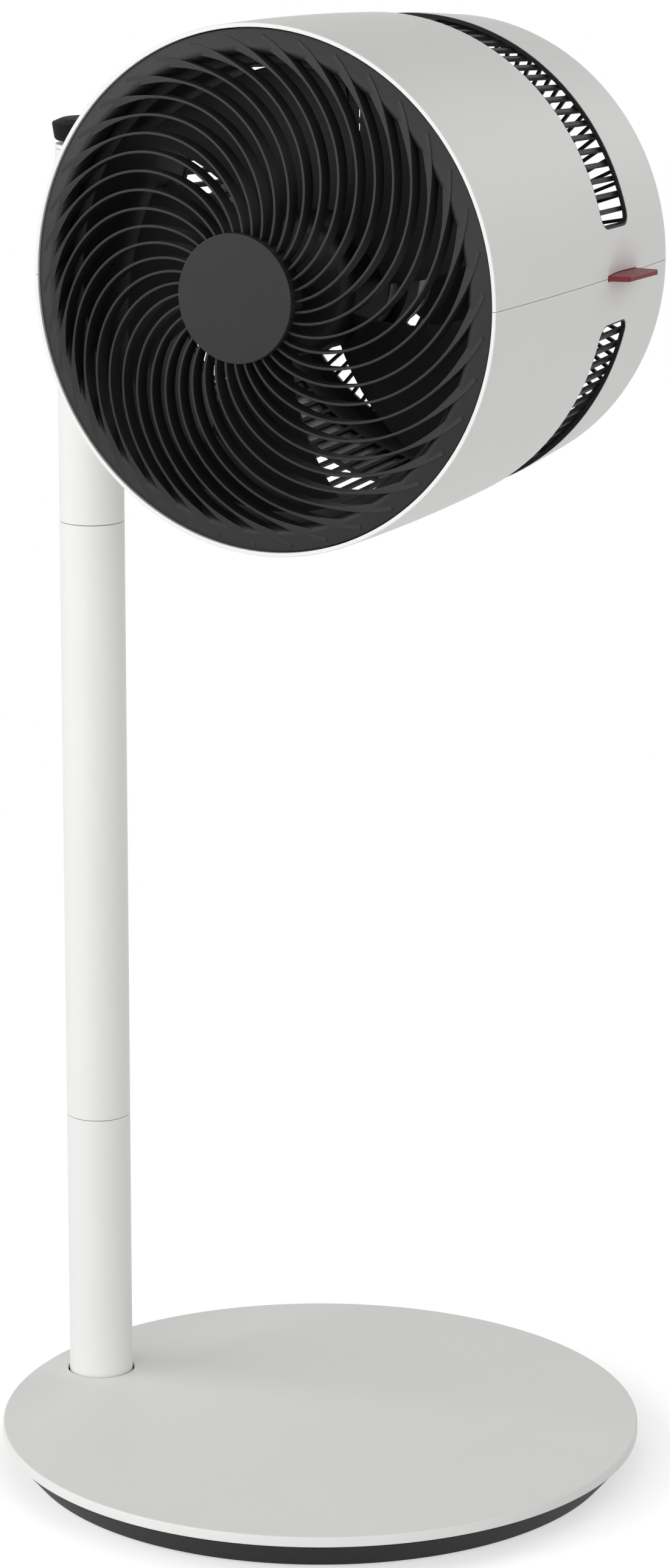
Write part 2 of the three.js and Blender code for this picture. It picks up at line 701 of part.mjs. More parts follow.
const traySlit = () => block(
  [barrelRadius(TRAY_START) - DRUM_RADIUS / 4, TRAY_START - GAP, -TRAY_THICKNESS / 2 - GAP],
  [DRUM_RADIUS * 2, TRAY_START + TRAY_WIDTH + GAP, TRAY_THICKNESS / 2 + GAP]);

/** One half of the drum: side is +1 for the upper shell and -1 for the lower. */
function shellHalf(side) {
  const half = SHELL_SEAM / 2;
  const reach = DRUM_RADIUS * 2;
  const region = side > 0
    ? block([-reach, -reach, half], [reach, reach * 2, reach])
    : block([-reach, -reach, -reach], [reach, reach * 2, -half]);
  const slot = side > 0
    ? slotCutter(SLOT_END_ANGLE, 180 - SLOT_END_ANGLE)
    : slotCutter(180 + SLOT_END_ANGLE, 360 - SLOT_END_ANGLE);
  const pivotHole = ring('x', COLLAR_RADIUS + GAP, 0, -reach, 0, HUB_FACETS).translate(0, PIVOT_T, 0);
  return cut(keep(barrel(), region), slot, pivotHole, traySlit());
}

// ------------------------------------------------------------------ front grille

const grilleRadius = shellInner(0) - GRILLE_RIM_GAP;
const bandInner = grilleRadius - GRILLE_BAND_WIDTH;

/** Front surface of the dome: distance behind the rim plane at a radius. */
function domeAt(radius) {
  const share = Math.max(radius - GRILLE_HUB_RADIUS, 0) / (grilleRadius - GRILLE_HUB_RADIUS);
  return 1 - GRILLE_DOME * (1 - share * share);
}

/** Angle of a rib's centreline: nearly radial at the hub, curling as it goes out. */
function ribAngle(radius) {
  const share = Math.max(radius - GRILLE_HUB_RADIUS, 0) / (bandInner - GRILLE_HUB_RADIUS);
  return radians(RIB_TURN + RIB_SWEEP * share ** RIB_CURL + RIB_SWAY * Math.sin(2 * Math.PI * share));
}

/** One spiral rib: flat in front, drafted to an edge behind, wider where it meets the band. */
function spiralRib(turn) {
  const from = GRILLE_HUB_RADIUS - GRILLE_HUB_WALL / 2;
  const to = bandInner + GRILLE_BAND_WIDTH * 0.3;
  const sections = Array.from({ length: RIB_STEPS + 1 }, (_, i) => {
    const radius = mix(from, to, i / RIB_STEPS);
    const flare = THREE.MathUtils.smoothstep(radius, bandInner - RIB_FLARE_LENGTH, bandInner);
    const width = RIB_WIDTH + RIB_FLARE * flare;
    const angle = turn + ribAngle(radius);
    const ahead = turn + ribAngle(radius + 0.5);
    const along = new THREE.Vector2(
      (radius + 0.5) * Math.cos(ahead) - radius * Math.cos(angle),
      (radius + 0.5) * Math.sin(ahead) - radius * Math.sin(angle)).normalize();
    const side = new THREE.Vector2(-along.y, along.x).multiplyScalar(width / 2);
    const front = domeAt(radius) + RIB_SINK;
    const back = front + mix(RIB_DEPTH, GRILLE_SKIN - 2 * RIB_SINK, flare);
    const [x, z] = [radius * Math.cos(angle), radius * Math.sin(angle)];
    return [
      [x - side.x, front, z - side.y],
      [x + side.x, front, z + side.y],
      [x, back, z],
    ];
  });
  return loft(sections);
}

/** Dark grille: outer band, hub ring and the spiral ribs between them. */
function frontGrille() {
  const band = revolve('y', [
    [bandInner, domeAt(bandInner)],
    [mix(bandInner, grilleRadius, 0.5), domeAt(mix(bandInner, grilleRadius, 0.5))],
    [grilleRadius, domeAt(grilleRadius)],
    [grilleRadius, GRILLE_DEPTH],
    [grilleRadius - GRILLE_SKIN, GRILLE_DEPTH],
    [grilleRadius - GRILLE_SKIN, domeAt(grilleRadius) + GRILLE_SKIN],
    [bandInner, domeAt(bandInner) + GRILLE_SKIN],
  ], DRUM_FACETS);
  const hubFront = domeAt(GRILLE_HUB_RADIUS);
  const hubBack = hubFront + RIB_DEPTH + 3 * RIB_SINK;
  const hub = ring(
    'y', GRILLE_HUB_RADIUS, GRILLE_HUB_RADIUS - GRILLE_HUB_WALL, hubFront, hubBack, POLE_FACETS);
  const ribs = Array.from({ length: RIB_COUNT }, (_, i) => spiralRib(2 * Math.PI * i / RIB_COUNT));
  return join(band, hub, ...ribs);
}

/** Plain round cap that plugs the grille's hub. */
function grilleCap() {
  const seat = domeAt(GRILLE_HUB_RADIUS) - GAP;
  const plug = GRILLE_HUB_RADIUS - GRILLE_HUB_WALL - GAP;
  return revolve('y', [
    [0, seat - GRILLE_CAP_HEIGHT],
    [GRILLE_CAP_RADIUS - 0.7, seat - GRILLE_CAP_HEIGHT],
    [GRILLE_CAP_RADIUS, seat - GRILLE_CAP_HEIGHT + 0.7],
    [GRILLE_CAP_RADIUS, seat],
    [plug, seat],
    [plug, seat + GRILLE_CAP_PLUG],
    [0, seat + GRILLE_CAP_PLUG],
  ], POLE_FACETS);
}

// ------------------------------------------------------------------ duct, motor and impeller

/** Spool inside the drum: air duct with a flange at each end that centres the shells. */
function ductRing() {
  const outer = DUCT_RADIUS + DUCT_WALL;
  const frontSeat = shellInner(DUCT_START + DUCT_FLANGE) - GAP;
  const rearSeat = shellInner(DUCT_END) - GAP;
  return revolve('y', [
    [DUCT_RADIUS, DUCT_START],
    [frontSeat, DUCT_START],
    [frontSeat, DUCT_START + DUCT_FLANGE],
    [outer, DUCT_START + DUCT_FLANGE],
    [outer, DUCT_END - DUCT_FLANGE],
    [rearSeat, DUCT_END - DUCT_FLANGE],
    [rearSeat, DUCT_END],
    [DUCT_RADIUS + DUCT_MOUTH * 0.3, DUCT_END],
    [DUCT_RADIUS, DUCT_END - DUCT_MOUTH],
  ], DRUM_FACETS);
}

const bladeTip = DUCT_RADIUS - IMPELLER_TIP_GAP;
const impellerMiddle = IMPELLER_START + IMPELLER_HUB_LENGTH / 2;

/** A point on a blade's middle surface: out runs 0 to 1 to the tip, across -1 to 1. */
function bladePoint(out, across) {
  const root = IMPELLER_HUB_RADIUS - IMPELLER_HUB_WALL / 2;
  const radius = mix(root, bladeTip, out);
  const angle = radians(BLADE_SWEEP * out * Math.abs(out) ** 0.3 + BLADE_HALF_ANGLE * across);
  const depth = mix(BLADE_HALF_DEPTH_ROOT, BLADE_HALF_DEPTH_TIP, out) * across;
  const camber = BLADE_CAMBER * (1 - across * across);
  return new THREE.Vector3(
    radius * Math.cos(angle), impellerMiddle + depth + camber, radius * Math.sin(angle));
}

/** A twisted, cambered blade of even thickness that thins towards its edges. */
function blade() {
  const [outSteps, acrossSteps] = [5, 4];
  const sections = Array.from({ length: outSteps + 1 }, (_, i) => {
    const out = i / outSteps;
    const face = (side) => Array.from({ length: acrossSteps + 1 }, (_, k) => {
      const across = -1 + 2 * k / acrossSteps;
      const centre = bladePoint(out, across);
      const alongOut = bladePoint(out + 0.01, across).sub(bladePoint(out - 0.01, across));
      const alongAcross = bladePoint(out, across + 0.01).sub(bladePoint(out, across - 0.01));
      const normal = alongOut.cross(alongAcross).normalize();
      const half = (BLADE_THICKNESS / 2) * (1 - 0.55 * across * across);
      return centre.addScaledVector(normal, side * half).toArray();
    });
    return [...face(1), ...face(-1).reverse()];
  });
  return loftLoop(sections);
}

/** Like loft, with end caps made of strips, for sections that fold back on themselves. */
function loftLoop(sections) {
  const sides = sections[0].length;
  const triangles = [];
  for (let i = 0; i < sections.length - 1; i += 1) {
    for (let k = 0; k < sides; k += 1) {
      const [a, b] = [i * sides + k, i * sides + (k + 1) % sides];
      triangles.push([a, b, b + sides], [a, b + sides, a + sides]);
    }
  }
  const last = (sections.length - 1) * sides;
  for (let k = 0; k < sides / 2 - 1; k += 1) {
    const [near, far] = [k, sides - 1 - k];
    triangles.push([near, far, near + 1], [near + 1, far, far - 1]);
    triangles.push([last + near, last + near + 1, last + far], [last + near + 1, last + far - 1, last + far]);
  }
  return outward(indexed(sections.flat(), triangles));
}

function impeller() {
  const bore = SHAFT_RADIUS + GAP;
  const end = IMPELLER_START + IMPELLER_HUB_LENGTH;
  const hub = revolve('y', [
    [bore, IMPELLER_START],
    [IMPELLER_HUB_RADIUS - 5, IMPELLER_START],
    [IMPELLER_HUB_RADIUS - 1.5, IMPELLER_START + 1.8],
    [IMPELLER_HUB_RADIUS, IMPELLER_START + 5],
    [IMPELLER_HUB_RADIUS, end],
    [IMPELLER_HUB_RADIUS - IMPELLER_HUB_WALL, end],
    [IMPELLER_HUB_RADIUS - IMPELLER_HUB_WALL, IMPELLER_START + 6],
    [bore + 5, IMPELLER_START + 6],
    [bore + 5, IMPELLER_START + 18],
    [bore, IMPELLER_START + 18],
  ], HUB_FACETS);
  const blades = Array.from({ length: BLADE_COUNT }, (_, i) =>
    blade().rotateY(-radians(BLADE_PHASE + 360 * i / BLADE_COUNT)));
  return join(hub, ...blades);
}

const motorEnd = MOTOR_START + MOTOR_LENGTH;
const shaftEnd = motorEnd - 1;

const motorShaft = () => ring('y', SHAFT_RADIUS, 0, SHAFT_START, shaftEnd, SMALL_FACETS);

function impellerNut() {
  const end = IMPELLER_START - GAP;
  return hexNut('y', NUT_RADIUS, SHAFT_RADIUS + GAP, end - NUT_LENGTH, end);
}

/** Motor can with a bearing pocket at each end. */
function motorHousing() {
  const pocket = BEARING_RADIUS + GAP;
  const bore = SHAFT_RADIUS + 1;
  return revolve('y', [
    [bore, MOTOR_START + BEARING_WIDTH + GAP],
    [pocket, MOTOR_START + BEARING_WIDTH + GAP],
    [pocket, MOTOR_START],
    [MOTOR_RADIUS - 3, MOTOR_START],
    [MOTOR_RADIUS, MOTOR_START + 3],
    [MOTOR_RADIUS, motorEnd],
    [pocket, motorEnd],
    [pocket, motorEnd - BEARING_WIDTH - GAP],
    [bore, motorEnd - BEARING_WIDTH - GAP],
  ], HUB_FACETS);
}

const bearing = (from) =>
  ring('y', BEARING_RADIUS, SHAFT_RADIUS + GAP, from, from + BEARING_WIDTH, SMALL_FACETS);

function motorCover() {
  const start = motorEnd + GAP;
  return revolve('y', [
    [0, start],
    [MOTOR_RADIUS, start],
    [MOTOR_RADIUS, start + MOTOR_COVER_THICKNESS - 1.4],
    [MOTOR_RADIUS - 2, start + MOTOR_COVER_THICKNESS],
    [0, start + MOTOR_COVER_THICKNESS],
  ], HUB_FACETS);
}

/** Clamp ring round the motor with arms out to the duct. */
function motorSpider() {
  const start = MOTOR_START + SPIDER_OFFSET;
  const inner = MOTOR_RADIUS + GAP;
  const clamp = ring('y', inner + SPIDER_RING_WALL, inner, start, start + SPIDER_DEPTH, HUB_FACETS);
  const reach = DUCT_RADIUS * Math.cos(Math.PI / DRUM_FACETS) - GAP;
  const arms = Array.from({ length: SPIDER_ARM_COUNT }, (_, i) => {
    const arm = block(
      [inner + SPIDER_RING_WALL / 2, start, -SPIDER_ARM_WIDTH / 2],
      [reach, start + SPIDER_DEPTH, SPIDER_ARM_WIDTH / 2]);
    return arm.rotateY(-radians(18 + 360 * i / SPIDER_ARM_COUNT));
  });
  return join(clamp, ...arms);
}

// ------------------------------------------------------------------ rear cage

/**
 * Basket of bars: a skin of revolution with rows of windows. Each station is
 * { outer: [radius, t], inner: [radius, t], open } and open says whether the row
 * that starts there has windows. The last station closes on the axis.
 */
function windowedBasket(stations, columns, barWidth) {
  const vertices = [];
  const corner = (station, skin, column, edge) => {
    const [radius, t] = station[skin];
    const halfBar = barWidth / 2 / Math.max(radius, 1);
    const angle = 2 * Math.PI * column / columns + edge * halfBar;
    return [radius * Math.cos(angle), t, radius * Math.sin(angle)];
  };
  // Four vertices for each station and column: outer and inner, at the bar's two edges.
  stations.forEach((station) => {
    for (let column = 0; column < columns; column += 1) {
      for (const skin of ['outer', 'inner']) {
        vertices.push(corner(station, skin, column, -1), corner(station, skin, column, 1));
      }
    }
  });
  const at = (row, column, skin, edge) =>
    (row * columns + (column % columns)) * 4 + (skin === 'outer' ? 0 : 2) + edge;
  const triangles = [];
  const quad = (a, b, c, d) => triangles.push([a, b, c], [a, c, d]);
  for (let row = 0; row < stations.length - 1; row += 1) {
    const next = row + 1;
    for (let column = 0; column < columns; column += 1) {
      quad(at(row, column, 'outer', 0), at(row, column, 'outer', 1),
        at(next, column, 'outer', 1), at(next, column, 'outer', 0));
      quad(at(row, column, 'inner', 1), at(row, column, 'inner', 0),
        at(next, column, 'inner', 0), at(next, column, 'inner', 1));
      const [left, right] = [[column, 1], [column + 1, 0]];
      if (stations[row].open) {
        for (const [[c, edge], flip] of [[left, false], [right, true]]) {
          const wall = [at(row, c, 'outer', edge), at(row, c, 'inner', edge),
            at(next, c, 'inner', edge), at(next, c, 'outer', edge)];
          quad(...(flip ? wall.reverse() : wall));
        }
        for (const [level, flip] of [[row, false], [next, true]]) {
          const wall = [at(level, ...left.toSpliced(1, 0, 'outer')), at(level, ...left.toSpliced(1, 0, 'inner')),
            at(level, ...right.toSpliced(1, 0, 'inner')), at(level, ...right.toSpliced(1, 0, 'outer'))];
          quad(...(flip ? wall : wall.reverse()));
        }
      } else {
        quad(at(row, column, 'outer', 1), at(row, column + 1, 'outer', 0),
          at(next, column + 1, 'outer', 0), at(next, column, 'outer', 1));
        quad(at(row, column + 1, 'inner', 0), at(row, column, 'inner', 1),
          at(next, column, 'inner', 1), at(next, column + 1, 'inner', 0));
      }
    }
  }
  const end = stations.length - 1;
  const centres = ['outer', 'inner'].map((skin) => vertices.push([0, stations[end][skin][1], 0]) - 1);
  for (let column = 0; column < columns; column += 1) {
    for (const [[c, e], [d, f]] of [[[column, 0], [column, 1]], [[column, 1], [column + 1, 0]]]) {
      quad(at(0, c, 'inner', e), at(0, d, 'inner', f), at(0, d, 'outer', f), at(0, c, 'outer', e));
      triangles.push([at(end, c, 'outer', e), at(end, d, 'outer', f), centres[0]]);
      triangles.push([at(end, d, 'inner', f), at(end, c, 'inner', e), centres[1]]);
    }
  }
  return outward(indexed(vertices, triangles));
}

/** Basket behind the vents: upright bars round the side, windows in the rear face. */
function rearCage() {
  const side = (t, open) => {
    const radius = shellInner(t) - CAGE_GAP;
    return { outer: [radius, t], inner: [radius - CAGE_WALL, t], open };
  };
  const rear = (radius, open) => {
    const t = CAGE_REAR_EDGE + CAGE_REAR_DOME * (1 - (radius / CAGE_REAR_RADIUS) ** 2);
    return { outer: [radius, t], inner: [radius, t - CAGE_WALL], open };
  };
  const basket = windowedBasket([
    side(DUCT_END + GAP, false),
    side(CAGE_SIDE_WINDOW.start, true),
    side(CAGE_SIDE_WINDOW.end, false),
    { outer: [CAGE_REAR_RADIUS, CAGE_REAR_EDGE], inner: [CAGE_REAR_RADIUS - 1, CAGE_REAR_EDGE - CAGE_WALL] },
    rear(CAGE_REAR_WINDOW.start, true),
    rear(CAGE_REAR_WINDOW.end, false),
  ], CAGE_COLUMNS, CAGE_BAR_WIDTH);
  return cut(basket, guideSpace(GAP, DRUM_RADIUS));
}

// ------------------------------------------------------------------ fragrance tray

const trayMouth = barrelRadius(TRAY_START + TRAY_WIDTH / 2); // radius of the shell at the tab
const guideEnd = shellInner(TRAY_START + TRAY_WIDTH) - 2 * GAP;
const guideStart = guideEnd - GUIDE_DEPTH;

/** The space of the tray's guide out to a radius, with a clearance round it. */
function guideSpace(clearance, reach) {
  const halfHeight = TRAY_THICKNESS / 2 + GAP + GUIDE_WALL + clearance;
  const margin = GAP + GUIDE_WALL + clearance;
  return block(
    [guideStart - clearance, TRAY_START - margin, -halfHeight],
    [reach, TRAY_START + TRAY_WIDTH + margin, halfHeight]);
}

/** Flat sleeve in the cage wall in which the tray slides. */
function trayGuide() {
  const hollow = block(
    [guideStart - 1, TRAY_START - GAP, -TRAY_THICKNESS / 2 - GAP],
    [guideEnd + 1, TRAY_START + TRAY_WIDTH + GAP, TRAY_THICKNESS / 2 + GAP]);
  return cut(guideSpace(0, guideEnd), hollow);
}

/** Extrudes an outline in the drum's level plane, as thick as the tray. */
function levelPlate(outline, thickness) {
  const shape = new THREE.Shape(outline.map(([x, t]) => new THREE.Vector2(x, t)));
  return new THREE.ExtrudeGeometry(shape, { depth: thickness, bevelEnabled: false })
    .translate(0, 0, -thickness / 2);
}

/** Flat tray whose outer end is the tab that stands out of the seam. */
function fragranceTray() {
  const [front, rear] = [TRAY_START, TRAY_START + TRAY_WIDTH];
  const inner = trayMouth - TRAY_DEPTH;
  const outer = trayMouth + TAB_REACH;
  const plate = levelPlate([
    [inner, front],
    [trayMouth, front],
    [outer, front + TAB_SLANT],
    [outer, rear - TAB_CORNER],
    [outer - TAB_CORNER, rear],
    [inner, rear],
  ], TRAY_THICKNESS);
  const [low, high] = padCorners(GAP);
  return cut(plate, block([low[0], low[1], -TRAY_THICKNESS / 2 + 0.8], [high[0], high[1], TRAY_THICKNESS]));
}

/** Plan corners of the pad's pocket, widened by a clearance. */
function padCorners(clearance) {
  const inner = trayMouth - TRAY_DEPTH + PAD_MARGIN / 2;
  return [
    [inner - clearance, TRAY_START + PAD_MARGIN - clearance],
    [inner + PAD_DEPTH + clearance, TRAY_START + TRAY_WIDTH - PAD_MARGIN + clearance],
  ];
}

function fragrancePad() {
  const [low, high] = padCorners(0);
  const bottom = -TRAY_THICKNESS / 2 + 0.8 + GAP;
  return block([low[0], low[1], bottom], [high[0], high[1], TRAY_THICKNESS / 2]);
}

// ------------------------------------------------------------------ tilt pivot, in the pole's frame

const drumOffset = DRUM_X - POLE_X;
const shellFace = drumOffset - shellInner(PIVOT_T); // inside of the shell, measured from the pole's axis
const plateStart = shellFace + COLLAR_REACH + GAP;
const plateEnd = plateStart + BRACKET_PLATE;
const washerEnd = plateEnd + GAP + WASHER_THICKNESS;
const tiltNutEnd = washerEnd + GAP + TILT_NUT_THICKNESS;
const atPivot = (geometry) => geometry.translate(0, 0, DRUM_AXIS_Z);

/** Cast plug in the pole with the cross bore that holds the axle. */
function pivotBlock() {
  const half = PIVOT_BLOCK_HEIGHT / 2;
  const plug = ring('z', plugRadius, 0, -half, half, POLE_FACETS);
  const bore = ring('x', AXLE_RADIUS + GAP, 0, -AXLE_TAIL - GAP, POLE_RADIUS * 2, HUB_FACETS);
  return atPivot(cut(plug, bore));
}

function pivotAxle() {
  const wireBore = AXLE_THREAD_RADIUS - 2;
  return atPivot(revolve('x', [
    [wireBore, -AXLE_TAIL],
    [AXLE_RADIUS, -AXLE_TAIL],
    [AXLE_RADIUS, washerEnd],
    [AXLE_THREAD_RADIUS, washerEnd],
    [AXLE_THREAD_RADIUS, tiltNutEnd + 0.4],
    [wireBore, tiltNutEnd + 0.4],
  ], HUB_FACETS));
}

/** Spacer between pole and drum, hollowed to the pole's curve. */
function pivotCollar() {
  const collar = ring('x', COLLAR_RADIUS, AXLE_RADIUS + GAP, 0, plateStart - GAP, HUB_FACETS);
  const pole = ring('z', POLE_RADIUS + GAP, 0, -DRUM_RADIUS, DRUM_RADIUS, POLE_FACETS);
  return atPivot(cut(collar, pole));
}

const tiltNut = () =>
  atPivot(hexNut('x', TILT_NUT_RADIUS, AXLE_THREAD_RADIUS + GAP, washerEnd + GAP, tiltNutEnd));

const frictionWasher = () =>
  atPivot(ring('x', WASHER_RADIUS, AXLE_RADIUS + GAP, plateEnd + GAP, washerEnd, HUB_FACETS));

/** Bridge on the duct: a plate with two legs that reach down to the duct wall. */
function tiltBracket() {
  const [halfWidth, halfHeight] = [BRACKET_WIDTH / 2, BRACKET_HEIGHT / 2];
  const legEnd = drumOffset - DUCT_RADIUS;
  const legs = [-halfWidth, halfWidth - BRACKET_LEG].map((y) =>
    block([plateStart, y, -halfHeight], [legEnd, y + BRACKET_LEG, halfHeight]));
  const plate = block([plateStart, -halfWidth, -halfHeight], [plateEnd, halfWidth, halfHeight]);
  const bore = ring('x', AXLE_RADIUS + GAP, 0, 0, drumOffset, HUB_FACETS);
  const duct = ring('y', DUCT_RADIUS + DUCT_WALL + GAP, 0, -BRACKET_WIDTH, BRACKET_WIDTH, DRUM_FACETS);
  return atPivot(cut(join(plate, ...legs), bore, duct.translate(drumOffset, 0, 0)));
}

// ------------------------------------------------------------------ the whole fan

const baseScrews = postPlaces.map(([x, y], i) =>
  piece(`base_screw_${i + 1}`, baseScrew().translate(x, y, 0), steel));

const base = assembly(
  [0, 0, 0],
  piece('base_cover', baseCover(), whiteShell),
  piece('base_tray', baseTray(), blackPlastic),
  piece('base_weight', baseWeight(), castWeight),
  piece('foot_ring', footRing(), rubber),
  piece('power_inlet', powerInlet(), blackPlastic),
  piece('control_board', controlBoard(), circuitBoard),
  piece('pole_socket', poleSocket(), zinc),
  ...baseScrews);

const poleFoot = assembly(
  [POLE_X, 0, 0],
  piece('pole_bolt', poleBolt(), steel),
  piece('pole_lower', poleLower(), whiteShell),
  piece('pole_joint_sleeve', jointSleeve(), steel),
  piece('pole_middle', poleMiddle(), whiteShell),
  piece('swivel_bush', swivelBush(), greyPlastic));

const poleHead = assembly(
  [POLE_X, 0, 0],
  piece('swivel_spigot', swivelSpigot(), steel),
  piece('pole_upper', poleUpper(), whiteShell),
  piece('pole_cap', poleCap(), whiteShell),
  piece('encoder_body', encoderBody(), blackPlastic),
  piece('encoder_rotor', encoderRotor(), greyPlastic),
  piece('knob_shaft', knobShaft(), steel),
  piece('knob', knob(), blackPlastic),
  piece('pivot_block', pivotBlock(), zinc),
  piece('pivot_axle', pivotAxle(), steel),
  piece('pivot_collar', pivotCollar(), blackPlastic),
  piece('tilt_bracket', tiltBracket(), zinc),
  piece('friction_washer', frictionWasher(), steel),
  piece('tilt_nut', tiltNut(), steel));

const drum = assembly(
  [DRUM_X, DRUM_FRONT_Y, DRUM_AXIS_Z],
  piece('shell_upper', shellHalf(1), whiteShell),
  piece('shell_lower', shellHalf(-1), whiteShell),
  piece('front_grille', frontGrille(), blackPlastic),
  piece('grille_cap', grilleCap(), blackPlastic),
  piece('duct_ring', ductRing(), blackPlastic),
  piece('impeller', impeller(), blackPlastic),
  piece('impeller_nut', impellerNut(), steel),
  piece('motor_shaft', motorShaft(), steel),
  piece('front_bearing', bearing(MOTOR_START), steel),
  piece('rear_bearing', bearing(motorEnd - BEARING_WIDTH), steel),
  piece('motor_housing', motorHousing(), motorCan),
  piece('motor_cover', motorCover(), blackPlastic),
  piece('motor_spider', motorSpider(), blackPlastic),
  piece('rear_cage', rearCage(), blackPlastic),
  piece('tray_guide', trayGuide(), blackPlastic),
  piece('fragrance_tray', fragranceTray(), redPlastic),
  piece('fragrance_pad', fragrancePad(), felt));

export default assembly([0, 0, 0], base, poleFoot, poleHead, drum);
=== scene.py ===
"""Air circulator fan: the looks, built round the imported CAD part.

Lengths are in millimetres until a mesh is written. Drum pieces are drawn in the head's own
axes: x to the right, t from the front rim towards the rear, z up. The pole's pieces are drawn
round the pole's own axis.
"""

import logging
import math
from collections.abc import Iterable, Sequence
from dataclasses import dataclass
from enum import Enum

import bmesh
import bpy
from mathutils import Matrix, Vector


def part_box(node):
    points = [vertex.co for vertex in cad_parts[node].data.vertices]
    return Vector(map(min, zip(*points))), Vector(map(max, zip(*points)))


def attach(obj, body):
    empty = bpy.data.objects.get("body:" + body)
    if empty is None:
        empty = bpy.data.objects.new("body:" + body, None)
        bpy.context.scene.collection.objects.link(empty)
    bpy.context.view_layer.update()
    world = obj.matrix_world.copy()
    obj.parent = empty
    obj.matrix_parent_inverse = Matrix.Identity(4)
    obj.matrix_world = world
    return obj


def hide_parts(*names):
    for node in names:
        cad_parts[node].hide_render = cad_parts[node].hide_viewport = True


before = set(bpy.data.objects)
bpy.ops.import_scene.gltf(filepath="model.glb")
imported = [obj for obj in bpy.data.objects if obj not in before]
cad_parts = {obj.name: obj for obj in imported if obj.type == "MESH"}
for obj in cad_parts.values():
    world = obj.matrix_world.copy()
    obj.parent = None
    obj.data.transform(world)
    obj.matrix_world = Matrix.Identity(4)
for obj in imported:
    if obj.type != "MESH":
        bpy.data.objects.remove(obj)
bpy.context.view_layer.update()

MM = 0.001
MERGE_DISTANCE = 1e-6

Point = tuple[float, float, float]
Flat = tuple[float, float]
Corner = tuple[float, float, float]
Loop = list[Point]

log = logging.getLogger("fan")


# ---------------------------------------------------------------------------- small geometry


class Axis(Enum):
    """Direction of a turned piece's axis."""

    X = "x"
    Y = "y"
    Z = "z"

    def spun(self, radius: float, height: float, angle: float) -> Point:
        """Gives the point at a radius, height and angle round this axis."""
        across, up = radius * math.cos(angle), radius * math.sin(angle)
        if self is Axis.X:
            return (height, across, up)
        if self is Axis.Y:
            return (across, height, up)
        return (across, up, height)


def mix(start: float, end: float, share: float) -> float:
    """Gives the value a share of the way from start to end."""
    return start + (end - start) * share


def spread(start: float, end: float, steps: int) -> list[float]:
    """Gives steps + 1 even values from start to end."""
    return [mix(start, end, i / steps) for i in range(steps + 1)]


def ease(value: float, start: float, end: float) -> float:
    """Rises smoothly from 0 at start to 1 at end."""
    share = min(max((value - start) / (end - start), 0.0), 1.0)
    return share * share * (3 - 2 * share)


def rounded(corners: Sequence[Corner], closed: bool = True, steps: int = 4) -> list[Flat]:
    """Replaces the corners of an outline by arcs.

    Args:
        corners: Each corner as (x, y, radius of its arc).
        closed: Whether the outline runs back to its start. The ends of an open one stay sharp.
        steps: Straight steps in each arc.

    Returns:
        The points of the outline.
    """
    outline: list[Flat] = []
    for i, (x, y, radius) in enumerate(corners):
        if radius <= 0 or (not closed and i in (0, len(corners) - 1)):
            outline.append((x, y))
            continue
        here = Vector((x, y))
        back = (Vector(corners[i - 1][:2]) - here).normalized()
        ahead = (Vector(corners[(i + 1) % len(corners)][:2]) - here).normalized()
        half = back.angle(ahead) / 2
        centre = here + (back + ahead).normalized() * (radius / math.sin(half))
        arm = here + back * (radius / math.tan(half)) - centre
        turn = (math.pi - 2 * half) * (1 if back.cross(ahead) < 0 else -1)
        for k in range(steps + 1):
            angle = turn * k / steps
            outline.append((
                centre.x + arm.x * math.cos(angle) - arm.y * math.sin(angle),
                centre.y + arm.x * math.sin(angle) + arm.y * math.cos(angle),
            ))
    return outline


